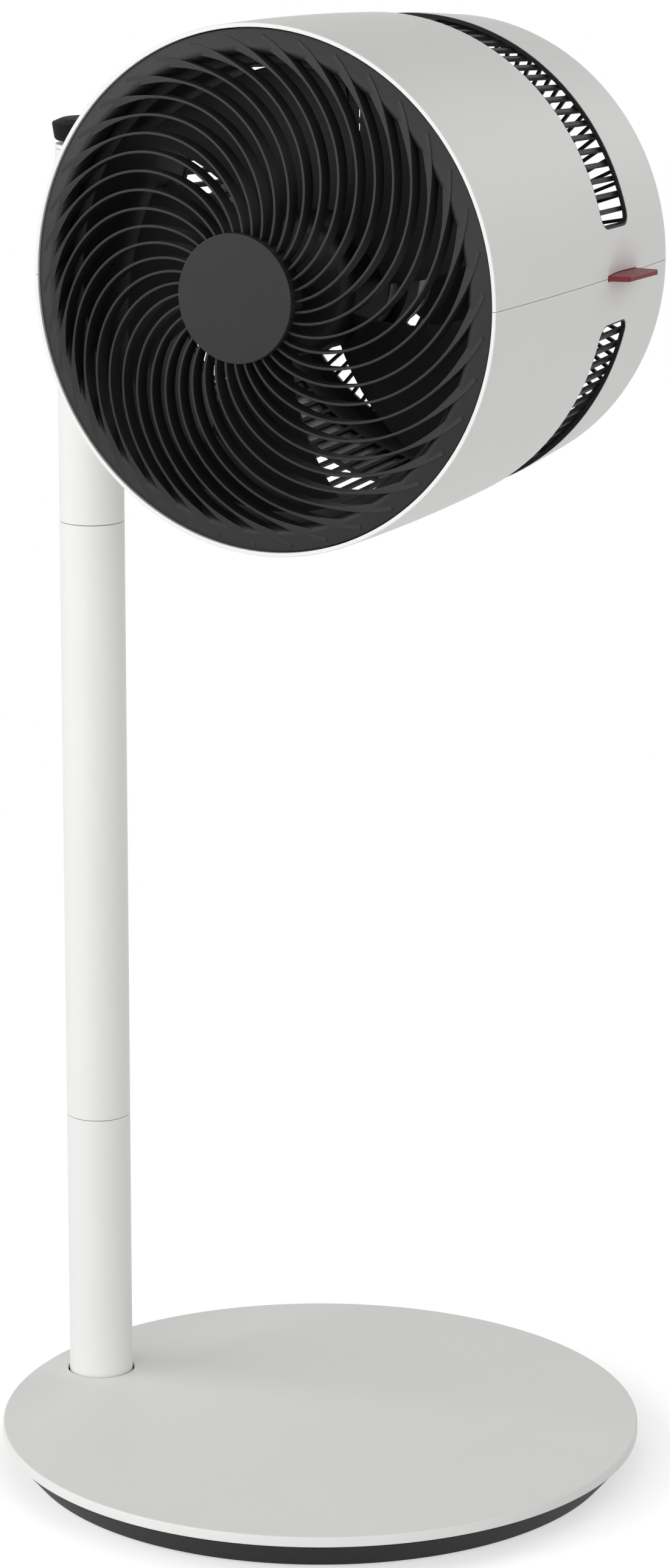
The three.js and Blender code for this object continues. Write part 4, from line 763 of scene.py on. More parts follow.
@dataclass
class Drum:
    """Barrelled drum in two halves, with a vent slot in each half."""

    radius: float = 127.4
    barrel_radius: float = 1770.0
    length: float = 206.5
    rear_round: float = 11.0
    rear_inset: float = 5.5
    wall: float = 2.1
    seam: float = 0.15
    rear_opening: float = 109.1
    slot_start: float = 122.0
    slot_end: float = 155.5
    slot_angle: float = 11.0
    slot_corner: float = 7.0
    slot_round: float = 0.35
    slot_margin: float = 6.0
    end_angle: float = 8.5
    corner_steps: int = 5
    row_steps: int = 6
    notch_front: float = 123.9
    notch_rear: float = 159.5
    notch_height: float = 1.55
    dimple_centre: float = 141.0
    dimple_half_length: float = 20.0
    dimple_half_height: float = 18.0
    dimple_depth: float = 1.9
    pivot_t: float = 80.0
    pivot_hole: float = 12.3

    def barrel(self, t: float) -> float:
        """Gives the drum's outer radius at a distance behind the front rim."""
        return self.radius - t * t / (2 * self.barrel_radius)

    def dimple(self, t: float, angle: float) -> float:
        """Gives the depth of the finger dimple round the red tab."""
        along = (t - self.dimple_centre) / self.dimple_half_length
        over = self.barrel(t) * angle / self.dimple_half_height
        left = max(1 - along * along - over * over, 0.0)
        return self.dimple_depth * left ** 2

    def slot_stations(self, outset: float) -> list[Flat]:
        """Gives the slot's outline, moved outwards by a distance.

        Args:
            outset: Distance in millimetres; negative moves it inwards.

        Returns:
            (angle in radians, t) points: along the front edge, down the far end, back along
            the rear edge and up the near end.
        """
        scale = 1 / self.barrel(self.slot_start)
        first = math.radians(self.slot_angle)
        bend = self.slot_corner + outset
        low, high = self.slot_start - outset, self.slot_end + outset
        near, far = first - outset * scale, math.pi - first + outset * scale
        inner_near, inner_far = near + bend * scale, far - bend * scale

        def arc(centre_angle: float, centre_t: float, start: float, steps: int, total: float) -> list[Flat]:
            """Gives part of a corner; start and total are in degrees, from +t towards +angle."""
            turns = [math.radians(start + total * k / steps) for k in range(steps)]
            return [(centre_angle + bend * scale * math.sin(a), centre_t + bend * math.cos(a)) for a in turns]

        stations = arc(inner_near, low + bend, 225, self.corner_steps, -45)
        stations += [(a, low) for a in spread(inner_near, inner_far, 60)[:-1]]
        stations += arc(inner_far, low + bend, 180, self.corner_steps, -45)
        stations += arc(inner_far, low + bend, 135, self.row_steps, -45)
        stations += [(far, t) for t in spread(low + bend, high - bend, 9)[:-1]]
        stations += arc(inner_far, high - bend, 90, self.row_steps, -45)
        stations += arc(inner_far, high - bend, 45, self.corner_steps, -45)
        stations += [(a, high) for a in spread(inner_far, inner_near, 60)[:-1]]
        stations += arc(inner_near, high - bend, 0, self.corner_steps, -45)
        stations += arc(inner_near, high - bend, -45, self.row_steps, -45)
        stations += [(near, t) for t in spread(high - bend, low + bend, 9)[:-1]]
        stations += arc(inner_near, low + bend, -90, self.row_steps, -45)
        return stations

    def columns(self) -> list[float]:
        """Gives the angles of the lengthwise lines from seam to seam."""
        scale = 1 / self.barrel(self.slot_start)
        edge = math.radians(self.end_angle)
        inner = math.radians(self.slot_angle) + self.slot_corner * scale
        end = [0.0, math.radians(0.75), *spread(math.radians(1.5), edge, 8)]
        middle = spread(edge, inner, self.corner_steps)[1:] + spread(inner, math.pi - inner, 60)[1:]
        middle += spread(math.pi - inner, math.pi - edge, self.corner_steps)[1:]
        return end + middle + [math.pi - a for a in reversed(end[:-1])]

    def band_rows(self) -> list[float]:
        """Gives the rows of the band that holds the slot, with a close pair at each notch end."""
        start, end = self.slot_start - self.slot_margin, self.slot_end + self.slot_margin
        low, high = self.slot_start + self.slot_corner, self.slot_end - self.slot_corner
        before = [*spread(start, self.notch_front - 0.1, 3), self.notch_front, mix(self.notch_front, low, 0.5), low]
        after = [*spread(high, self.notch_rear - 0.1, 3), self.notch_rear, end]
        return before + spread(low, high, 9)[1:-1] + after

    def point(self, angle: float, t: float, depth: float, side: Side) -> Point:
        """Gives a point of a shell at a depth under its outer face."""
        hollow = self.dimple(t, angle) * (1.0 if depth < self.wall / 2 else 0.45)
        radius = self.barrel(t) - depth - hollow
        return self.seated(radius, t, angle, side)

    def seated(self, radius: float, t: float, angle: float, side: Side) -> Point:
        """Gives a point at a radius, held clear of the seam and of the tab's notch."""
        notch = angle < 1 and self.notch_front <= t <= self.notch_rear
        least = self.notch_height if notch else self.seam
        height = max(radius * math.sin(angle), least)
        across = math.sqrt(radius * radius - height * height) * (1 if angle < math.pi / 2 else -1)
        return (across, t, side.value * height)

    def slot_loop(self, outset: float, depth: float, side: Side) -> Loop:
        """Gives the slot's outline as a loop of points at a depth."""
        return [self.point(a, t, depth, side) for a, t in self.slot_stations(outset)]

    def frame_stations(self) -> list[Flat]:
        """Gives the band's rectangle round the slot, station for station with the slot."""
        columns, rows = self.columns(), self.band_rows()
        start, end = rows[0], rows[-1]
        reach = len(columns) - 2 * 9
        inner = columns[9:9 + reach]
        stations = [(a, start) for a in inner[:-1]]
        stations += [(inner[-1], t) for t in rows[:-1]]
        stations += [(a, end) for a in inner[:0:-1]]
        stations += [(inner[0], t) for t in rows[:0:-1]]
        return stations

    def face(self, draft: Draft, depth: float, side: Side) -> None:
        """Adds the outer or inner face of a shell, with the slot left open."""
        columns, rows = self.columns(), self.band_rows()
        front = spread(0.6, rows[0], 14)
        rear = spread(rows[-1], self.length - self.rear_round, 5)
        for stretch in (front, rear):
            draft.skin([[self.point(a, t, depth, side) for a in columns] for t in stretch], around=False)
        for end in (columns[:10], columns[-10:]):
            draft.skin([[self.point(a, t, depth, side) for a in end] for t in rows], around=False)
        outset = self.slot_round if depth == 0 else 0.0
        frame, slot = self.frame_stations(), self.slot_stations(outset)
        between = [[(mix(a, b, s), mix(t, u, s)) for (a, t), (b, u) in zip(frame, slot)] for s in spread(0, 1, 3)]
        draft.skin([[self.point(a, t, depth, side) for a, t in loop] for loop in between])

    def ends(self, draft: Draft, side: Side) -> None:
        """Adds the front rim, the rounded rear edge with its lip, and the slot's wall."""
        columns = self.columns()
        outer, inner = self.barrel(0.6), self.barrel(0.6) - self.wall
        rim = [(outer, 0.6), *rounded([(outer, 0.6, 0), (outer, 0, 0.55), (inner, 0, 0.35), (inner, 0.6, 0)],
                                      closed=False)[1:-1], (inner, 0.6)]
        start = self.length - self.rear_round
        edge = self.barrel(start)
        tip = rounded([(edge - self.rear_inset, self.length, 0), (self.rear_opening, self.length, 0.7),
                       (self.rear_opening, self.length - self.wall, 0.4),
                       (edge - self.rear_inset, self.length - self.wall, 0)], closed=False)
        lip = self.rear_curve(edge, start, 0.0)[:-1] + tip + self.rear_curve(edge, start, self.wall)[-2::-1]
        for profile in (rim, lip):
            draft.skin([[self.seated(r, t, a, side) for a in columns] for r, t in profile], around=False)
        turns = [math.radians(90 * k / 4) for k in range(5)]
        wall = [(self.slot_round * (1 - math.sin(a)), self.slot_round * (1 - math.cos(a))) for a in turns]
        wall.append((0.0, self.wall))
        draft.skin([self.slot_loop(out, deep, side) for out, deep in wall])

    def rear_curve(self, edge: float, start: float, depth: float) -> list[Flat]:
        """Gives the rounded rear edge's curve at a depth under its face, from the side inwards."""
        turns = [math.radians(90 * k / 10) for k in range(11)]
        return [(edge - self.rear_inset + (self.rear_inset - depth) * math.cos(a),
                 start + (self.rear_round - depth) * math.sin(a)) for a in turns]

    def seams(self, draft: Draft, side: Side) -> None:
        """Closes a shell along its two seams."""
        rows = self.band_rows()
        lengthwise = spread(0.6, rows[0], 14) + rows[1:] + spread(rows[-1], self.length - self.rear_round, 5)[1:]
        for angle in (0.0, math.pi):
            draft.skin([[self.point(angle, t, depth, side) for t in lengthwise] for depth in (0.0, self.wall)],
                       around=False)

    def close_ends(self, draft: Draft) -> None:
        """Fills what is still open at the seam ends of the rim and of the rear lip."""
        bmesh.ops.remove_doubles(draft.mesh, verts=draft.mesh.verts, dist=MERGE_DISTANCE)
        bmesh.ops.holes_fill(draft.mesh, edges=draft.mesh.edges, sides=0)

    def half(self, side: Side) -> bpy.types.Object:
        """Makes one half of the drum."""
        draft = Draft(HEAD_ORIGIN)
        self.face(draft, 0.0, side)
        self.face(draft, self.wall, side)
        self.ends(draft, side)
        self.seams(draft, side)
        self.close_ends(draft)
        shell = draft.solid(f"drum_{side.name.lower()}_half", sharp=42)
        hole = [(0, -self.radius * 1.2), (self.pivot_hole, -self.radius * 1.2), (self.pivot_hole, -self.radius * 0.8),
                (0, -self.radius * 0.8)]
        cutter = Draft(HEAD_ORIGIN).turned(hole, Axis.X, 72, (0, self.pivot_t, 0)).solid("pivot_hole")
        return carve(shell, cutter)

    def build(self) -> None:
        """Builds and dresses both halves."""
        for side in Side:
            node = f"shell_{side.name.lower()}"
            place(self.half(side), "head", "white_shell", WHITE_ABS, node)


# ---------------------------------------------------------------------------- front grille


@dataclass
class FrontGrille:
    """Domed grille: an outer band, a hub with its cap, and spiral ribs between them."""

    rim_radius: float = 124.8
    band_width: float = 7.3
    skin: float = 2.4
    depth: float = 11.7
    dome: float = 20.0
    hub_radius: float = 30.0
    hub_wall: float = 6.0
    rib_count: int = 38
    rib_sweep: float = 67.0
    rib_curl: float = 1.35
    rib_turn: float = 0.5
    rib_sway: float = 1.0
    rib_width: float = 1.35
    rib_flare: float = 3.6
    rib_flare_length: float = 15.0
    rib_depth: float = 8.5
    rib_steps: int = 36
    ramp_width: float = 5.6
    ramp_depth: float = 9.0
    ramp_wall: float = 1.6
    cap_radius: float = 31.0
    cap_height: float = 4.2
    cap_plug: float = 6.0

    @property
    def band_inner(self) -> float:
        """Inner radius of the outer band."""
        return self.rim_radius - self.band_width

    def ramp(self) -> list[Flat]:
        """Gives the curve by which the band falls away inwards between the ribs."""
        turns = [math.radians(90 * k / 8) for k in range(9)]
        edge = self.band_inner - self.ramp_width
        return [(edge + self.ramp_width * (1 - math.sin(a)),
                 self.dome_at(mix(self.band_inner, edge, math.sin(a))) + self.ramp_depth * (1 - math.cos(a)))
                for a in turns]

    def dome_at(self, radius: float) -> float:
        """Gives the dome's distance behind the rim plane at a radius."""
        share = max(radius - self.hub_radius, 0.0) / (self.rim_radius - self.hub_radius)
        return 1 - self.dome * (1 - share * share)

    def rib_angle(self, radius: float) -> float:
        """Gives how far a rib has curled at a radius, in radians."""
        share = max(radius - self.hub_radius, 0.0) / (self.band_inner - self.hub_radius)
        return math.radians(self.rib_turn + self.rib_sweep * share ** self.rib_curl
                            + self.rib_sway * math.sin(2 * math.pi * share))

    def rib(self, draft: Draft, turn: float) -> None:
        """Adds one spiral rib, rounded in front and drafted behind."""
        loops = []
        for radius in spread(self.hub_radius - 3, self.band_inner + 2.6, self.rib_steps):
            flare = ease(radius, self.band_inner - self.rib_flare_length, self.band_inner + 1)
            half = (self.rib_width + self.rib_flare * flare ** 1.6) / 2
            angle, ahead = (turn + self.rib_angle(r) for r in (radius, radius + 0.5))
            here = Vector((radius * math.cos(angle), radius * math.sin(angle)))
            step = Vector(((radius + 0.5) * math.cos(ahead), (radius + 0.5) * math.sin(ahead))) - here
            across = Vector((-step.y, step.x)).normalized()
            front = self.dome_at(radius) + 0.12
            deep = mix(self.rib_depth, self.skin - 0.4, ease(radius, self.band_inner - 5, self.band_inner))
            edge = min(0.35, half * 0.5)
            section = [(-half, edge), (-half + edge * 0.3, edge * 0.3), (-half + edge, 0), (half - edge, 0),
                       (half - edge * 0.3, edge * 0.3), (half, edge), (half * 0.42, deep), (-half * 0.42, deep)]
            loops.append([(here.x + across.x * s, front + d, here.y + across.y * s) for s, d in section])
        draft.skin(loops, capped=True)

    def grille(self) -> bpy.types.Object:
        """Makes the band, the hub ring and the ribs."""
        draft = Draft(HEAD_ORIGIN)
        rim = self.rim_radius
        top = [(r, self.dome_at(r), 0) for r in spread(self.band_inner, rim, 4)][1:]
        top[-1] = (*top[-1][:2], 0.5)
        ramp = self.ramp()
        front = [(r, t, 0) for r, t in reversed(ramp)]
        back = [(r + self.ramp_wall * k / 8, t + self.ramp_wall * (1 - k / 8) * 0.6 + 0.5 * k / 8, 0)
                for k, (r, t) in enumerate(reversed(ramp))]
        under = [(r, t + self.ramp_wall, 0) for r, t, _ in back[4:]]
        draft.turned(rounded([
            *front, *top, (rim, self.depth, 0.3), (rim - self.skin, self.depth, 0.3),
            (rim - self.skin, self.dome_at(rim) + self.skin, 0.6), *reversed(under),
            (ramp[-1][0] + self.ramp_wall, ramp[-1][1], 0)]), Axis.Y, 228)
        hub_front = self.dome_at(self.hub_radius)
        hub_back = hub_front + self.rib_depth + 0.6
        bore = self.hub_radius - self.hub_wall
        draft.turned(rounded([
            (self.hub_radius, hub_front, 0.3), (self.hub_radius, hub_back, 0.5), (bore, hub_back, 0.5),
            (bore, hub_front, 0.3)]), Axis.Y, 152)
        for i in range(self.rib_count):
            self.rib(draft, 2 * math.pi * i / self.rib_count)
        return draft.solid("spiral_grille")

    def cap(self) -> bpy.types.Object:
        """Makes the plain round cap in the middle."""
        seat = self.dome_at(self.hub_radius) - 0.3
        front = seat - self.cap_height
        plug = self.hub_radius - self.hub_wall - 0.3
        crown = 0.5
        profile = rounded([
            (0, front, 0), (self.cap_radius * 0.55, front + crown * 0.3, 20), (self.cap_radius, front + crown, 0.6),
            (self.cap_radius, seat, 0.2), (plug, seat, 0.2), (plug, seat + self.cap_plug, 0.5),
            (0, seat + self.cap_plug, 0)], closed=False, steps=5)
        return Draft(HEAD_ORIGIN).turned(profile, Axis.Y, 128).solid("hub_cap")

    def build(self) -> None:
        """Builds and dresses the grille."""
        place(self.grille(), "head", "black_plastic", BLACK_PP, "front_grille")
        place(self.cap(), "head", "black_plastic", BLACK_PP, "grille_cap")


# ---------------------------------------------------------------------------- air path


@dataclass
class AirPath:
    """Duct, impeller, motor and the arms that hold the motor."""

    duct_radius: float = 107.0
    duct_wall: float = 2.5
    duct_start: float = 12.0
    duct_end: float = 114.7
    flare_start: float = 58.0
    flare: float = 11.7
    flange: float = 2.0
    hub_radius: float = 34.0
    hub_start: float = 28.0
    hub_length: float = 38.0
    hub_wall: float = 2.6
    tip_gap: float = 2.5
    blade_count: int = 5
    blade_half_angle: float = -27.0
    blade_sweep: float = 16.0
    blade_half_depth: tuple[float, float] = (14.0, 18.0)
    blade_camber: float = 4.0
    blade_thickness: float = 2.2
    blade_phase: float = 26.0
    shaft_radius: float = 4.0
    motor_radius: float = 32.0
    motor_start: float = 70.0
    motor_length: float = 42.0
    cover_thickness: float = 3.4
    spider_start: float = 82.0
    spider_depth: float = 12.0
    arm_count: int = 5
    arm_width: float = 3.4

    def duct(self, drum: Drum) -> bpy.types.Object:
        """Makes the spool that guides the air and centres the shells."""
        outer = self.duct_radius + self.duct_wall
        front = drum.barrel(self.duct_start + self.flange) - drum.wall - 0.4
        rear = drum.barrel(self.duct_end) - drum.wall - 0.4
        bell = [(self.bore_at(t), t) for t in spread(self.flare_start, self.duct_end, 16)]
        profile = rounded([
            (self.duct_radius, self.duct_start, 1.2), (front, self.duct_start, 0.3),
            (front, self.duct_start + self.flange, 0.3), (outer, self.duct_start + self.flange, 0.8),
            (outer, self.flare_start, 0), *[(r + self.duct_wall, t, 0) for r, t in bell[1:-1]],
            (rear, self.duct_end, 0.1), *[(r, t, 0) for r, t in reversed(bell)]])
        return Draft(HEAD_ORIGIN).turned(profile, Axis.Y, 160).solid("air_duct")

    def bore_at(self, t: float) -> float:
        """Gives the duct's inner radius, which flares like a bell behind the impeller."""
        share = max(t - self.flare_start, 0.0) / (self.duct_end - self.flare_start)
        return self.duct_radius + self.flare * share ** 1.5

    def blade_point(self, out: float, across: float) -> Vector:
        """Gives a point on a blade's middle surface."""
        root = self.hub_radius - self.hub_wall / 2
        radius = mix(root, self.duct_radius - self.tip_gap, out)
        sweep = self.blade_sweep * out * abs(out) ** 0.3
        angle = math.radians(sweep + self.blade_half_angle * across)
        depth = mix(*self.blade_half_depth, out) * across + self.blade_camber * (1 - across * across)
        middle = self.hub_start + self.hub_length / 2
        return Vector((radius * math.cos(angle), middle + depth, radius * math.sin(angle)))

    def blade(self, draft: Draft, turn: float) -> None:
        """Adds one twisted blade whose edges thin out."""
        cosine, sine = math.cos(turn), math.sin(turn)
        loops = []
        for out in spread(0, 1, 14):
            faces: list[Loop] = [[], []]
            for across in spread(-1, 1, 16):
                along = self.blade_point(out + 0.01, across) - self.blade_point(out - 0.01, across)
                over = self.blade_point(out, across + 0.01) - self.blade_point(out, across - 0.01)
                normal = along.cross(over).normalized()
                half = self.blade_thickness / 2 * math.sqrt(max(1 - 0.93 * across ** 4, 0.02))
                for face, sign in zip(faces, (1, -1)):
                    p = self.blade_point(out, across) + normal * (half * sign)
                    face.append((p.x * cosine - p.z * sine, p.y, p.x * sine + p.z * cosine))
            loops.append(faces[0] + faces[1][::-1])
        draft.skin(loops)
        for loop in (loops[0], loops[-1]):
            count = len(loop)
            strip = [[loop[k], loop[count - 1 - k]] for k in range(count // 2)]
            draft.skin(strip, around=False)

    def impeller(self) -> bpy.types.Object:
        """Makes the hub and its blades."""
        start, end = self.hub_start, self.hub_start + self.hub_length
        bore = self.shaft_radius + 0.3
        inner = self.hub_radius - self.hub_wall
        draft = Draft(HEAD_ORIGIN)
        draft.turned(rounded([
            (bore, start, 0.3), (self.hub_radius, start, 6.5), (self.hub_radius, end, 0.5), (inner, end, 0.5),
            (inner, start + 6, 3), (bore + 5, start + 6, 1), (bore + 5, start + 18, 0.5),
            (bore, start + 18, 0.3)], steps=7), Axis.Y, 120)
        for i in range(self.blade_count):
            self.blade(draft, math.radians(self.blade_phase + 360 * i / self.blade_count))
        return draft.solid("impeller_wheel")

    def nut(self) -> bpy.types.Object:
        """Makes the hexagon nut that holds the impeller."""
        low, high = (corner.y / MM - DRUM_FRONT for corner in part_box("impeller_nut"))
        outline = [(8 * math.cos(math.pi * k / 3), 8 * math.sin(math.pi * k / 3)) for k in range(6)]
        nut = Draft(HEAD_ORIGIN).skin([[(x, t, z) for x, z in outline] for t in (low, high)], capped=True).solid("shaft_nut")
        bore = [(0, low - 1), (4.3, low - 1), (4.3, high + 1), (0, high + 1)]
        cone = [(6.2, low - 1), (12, low - 1), (12, low + 1.6)]
        tools = [Draft(HEAD_ORIGIN).turned(p, Axis.Y, 48).solid("tool") for p in (bore, cone)]
        return soften(carve(nut, *tools), 0.15)

    def motor(self) -> bpy.types.Object:
        """Makes the motor can with its rolled front edge and its seam bead."""
        start, end = self.motor_start, self.motor_start + self.motor_length
        bore, pocket = self.shaft_radius + 1, 9.3
        waist = start + 9
        profile = rounded([
            (bore, start + 6.3, 0), (pocket, start + 6.3, 0), (pocket, start, 0.3), (self.motor_radius, start, 2.6),
            (self.motor_radius, waist, 0.2), (self.motor_radius - 0.6, waist + 0.6, 0.2),
            (self.motor_radius - 0.6, waist + 1.6, 0.2), (self.motor_radius, waist + 2.2, 0.2),
            (self.motor_radius, end, 0.4), (pocket, end, 0.3), (pocket, end - 6.3, 0), (bore, end - 6.3, 0)])
        return Draft(HEAD_ORIGIN).turned(profile, Axis.Y, 96).solid("motor_can")

    def cover(self) -> bpy.types.Object:
        """Makes the lid on the motor's back, with one raised ring."""
        low = self.motor_start + self.motor_length + 0.3
        high = low + self.cover_thickness
        profile = rounded([
            (0, low, 0), (self.motor_radius, low, 0.3), (self.motor_radius, high, 1.6), (20, high, 0.3),
            (20, high - 0.8, 0.3), (16, high - 0.8, 0.3), (16, high, 0.3), (0, high, 0)], closed=False)
        return Draft(HEAD_ORIGIN).turned(profile, Axis.Y, 96).solid("motor_lid")

    def spider(self) -> bpy.types.Object:
        """Makes the clamp ring and the five arms out to the duct."""
        start, end = self.spider_start, self.spider_start + self.spider_depth
        inner = self.motor_radius + 0.3
        outer = inner + 3.6
        draft = Draft(HEAD_ORIGIN)
        draft.turned(rounded([(inner, start, 0.4), (outer, start, 0.8), (outer, end, 0.8), (inner, end, 0.4)]), Axis.Y, 96)
        half = self.arm_width / 2
        section = rounded([(-half, start, 1.2), (half, start, 1.2), (half, end, 1.2), (-half, end, 1.2)], steps=3)
        reach = self.bore_at(start) + self.duct_wall * 0.8
        ends = [outer - 1.5, mix(outer, reach, 0.12), reach - 5, reach]
        swell = [1.9, 1.0, 1.0, 1.7]
        for i in range(self.arm_count):
            turn = math.radians(18 + 360 * i / self.arm_count)
            cosine, sine = math.cos(turn), math.sin(turn)
            loops = [[(r * cosine - s * w * sine, t, r * sine + s * w * cosine) for s, t in section]
                     for r, w in zip(ends, swell)]
            draft.skin(loops, capped=True)
        return draft.solid("motor_arms")

    def build(self, drum: Drum) -> None:
        """Builds and dresses the air path."""
        place(self.duct(drum), "head", "black_plastic", BLACK_PP_INNER, "duct_ring")
        place(self.impeller(), "impeller", "black_plastic", BLACK_PP_INNER, "impeller")
        place(self.nut(), "impeller", "steel", SHAFT_STEEL, "impeller_nut")
        place(self.motor(), "head", "motor_can", MOTOR_CAN, "motor_housing")
        place(self.cover(), "head", "black_plastic", BLACK_PP_INNER, "motor_cover")
        place(self.spider(), "head", "black_plastic", BLACK_PP_INNER, "motor_spider")
        dress("motor_shaft", SHAFT_STEEL)
        dress("front_bearing", SHAFT_STEEL)
        dress("rear_bearing", SHAFT_STEEL)


# ---------------------------------------------------------------------------- rear cage


@dataclass(frozen=True)
class CageRow:
    """A ring of the cage: its outer and inner point, the width of its bars, and whether it opens."""

    outer: Flat
    inner: Flat
    bar: float
    open: bool


@dataclass
class RearCage:
    """Fine basket behind the vents, with a lining that stands up in each slot."""

    gap: float = 1.0
    wall: float = 2.2
    columns: int = 96
    inner_columns: int = 48
    side_bar: float = 2.4
    rear_bar: float = 1.7
    ring_width: float = 1.8
    ring_pitch: float = 9.5
    start: float = 115.0
    window_start: float = 116.6
    window_end: float = 186.0
    rear_radius: float = 108.5
    rear_edge: float = 201.5
    rear_dome: float = 2.6
    lining: float = 0.8
    lining_clearance: float = 0.15
    lining_sink: float = 0.3

    def side_row(self, drum: Drum, t: float, opened: bool) -> CageRow:
        """Gives a row on the cage's side wall."""
        radius = drum.barrel(t) - drum.wall - self.gap
        return CageRow((radius, t), (radius - self.wall, t), self.side_bar, opened)

    def rear_row(self, radius: float, opened: bool) -> CageRow:
        """Gives a row on the cage's slightly domed rear face."""
        t = self.rear_edge + self.rear_dome * (1 - (radius / self.rear_radius) ** 2)
        return CageRow((radius, t), (radius, t - self.wall), self.rear_bar, opened)

    def basket(self, draft: Draft, rows: Sequence[CageRow], columns: int, closed: bool) -> None:
        """Adds a skin of revolution with windows.

        Args:
            draft: Where it is added.
            rows: Its rings, from the front to the middle of the rear face.
            columns: Number of bars round it.
            closed: Whether it ends in a disc rather than in a round hole.
        """
        def ring(row: CageRow, skin: int) -> list[bmesh.types.BMVert]:
            """Makes the vertices of one ring, two for each bar."""
            radius, t = row.outer if skin == 0 else row.inner
            made = []
            for column in range(columns):
                for edge in (-1, 1):
                    angle = 2 * math.pi * column / columns + edge * row.bar / 2 / radius
                    place_at = Vector((radius * math.cos(angle), t, radius * math.sin(angle)))
                    made.append(draft.mesh.verts.new((draft.origin + place_at) * MM))
            return made

        rings = [(ring(row, 0), ring(row, 1)) for row in rows]
        face = draft.mesh.faces.new
        count = 2 * columns
        for (near, row), far in zip(zip(rings, rows), rings[1:]):
            for i in range(count):
                j = (i + 1) % count
                if i % 2 == 0 or not row.open:
                    face((near[0][i], near[0][j], far[0][j], far[0][i]))
                    face((near[1][i], far[1][i], far[1][j], near[1][j]))
                if row.open:
                    face((near[0][i], far[0][i], far[1][i], near[1][i]))
                if row.open and i % 2 == 1:
                    face((near[0][i], near[1][i], near[1][j], near[0][j]))
                    face((far[0][i], far[0][j], far[1][j], far[1][i]))
        for i in range(count):
            j = (i + 1) % count
            face((rings[0][0][i], rings[0][0][j], rings[0][1][j], rings[0][1][i]))
            if not closed:
                face((rings[-1][0][i], rings[-1][0][j], rings[-1][1][j], rings[-1][1][i]))
        if closed:
            for skin in (0, 1):
                face(rings[-1][skin])

    def rear_rows(self, start: float, end: float) -> list[CageRow]:
        """Gives rows of windows and rings from one radius inwards to another."""
        rows = []
        radius = start
        while radius - self.ring_pitch >= end - 0.01:
            rows.append(self.rear_row(radius, True))
            radius -= self.ring_pitch
            rows.append(self.rear_row(radius + self.ring_width, False))
        return rows

    def cage(self, drum: Drum) -> bpy.types.Object:
        """Makes the basket, cut back where the tray's guide passes."""
        draft = Draft(HEAD_ORIGIN)
        corner = CageRow((self.rear_radius, self.rear_edge), (self.rear_radius - 1, self.rear_edge - self.wall),
                         self.rear_bar, False)
        change = self.rear_radius - 5.4 - 3 * self.ring_pitch
        sides = [self.side_row(drum, self.start, False), self.side_row(drum, self.window_start, True),
                 self.side_row(drum, self.window_end, False), self.side_row(drum, 192, False), corner]
        outer = [self.rear_row(self.rear_radius - 5.4, True), self.rear_row(change + self.ring_width, False)]
        self.basket(draft, [*sides, *outer, self.rear_row(change, False)], self.columns, False)
        inner = self.rear_rows(change - self.ring_width, change - self.ring_width - 3 * self.ring_pitch)
        self.basket(draft, [self.rear_row(change - 0.02, False), *inner, self.rear_row(20, False)],
                    self.inner_columns, True)
        cage = draft.solid("fine_cage", sharp=30)
        low, high = (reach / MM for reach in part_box("tray_guide"))
        room = [(low.x - 0.3, low.y - 0.3), (high.x + 40, low.y - 0.3), (high.x + 40, high.y + 0.3),
                (low.x - 0.3, high.y + 0.3)]
        cutter = Draft().prism(room, low.z - 0.3, high.z + 0.3).solid("guide_room")
        return soften(carve(cage, cutter), 0.22, 1)

    def vent_lining(self, drum: Drum, side: Side) -> bpy.types.Object:
        """Makes the dark wall that lines a slot, a little under the shell's face."""
        outer, inner = -self.lining_clearance, -self.lining_clearance - self.lining
        top, deep = self.lining_sink, drum.wall + 0.4
        section = rounded([(outer, top, 0.2), (inner, top, 0.25), (inner, deep, 0.1), (outer, deep, 0.1)], steps=3)
        loops = [drum.slot_loop(out, depth, side) for out, depth in section]
        return Draft(HEAD_ORIGIN).skin(loops, wrap=True).solid(f"vent_lining_{side.name.lower()}")

    def build(self, drum: Drum) -> None:
        """Builds and dresses the cage."""
        place(self.cage(drum), "head", "black_plastic", BLACK_PP_INNER, "rear_cage")
        for side in Side:
            place(self.vent_lining(drum, side), "head", "black_plastic", BLACK_PP_INNER)


# ---------------------------------------------------------------------------- fragrance tray


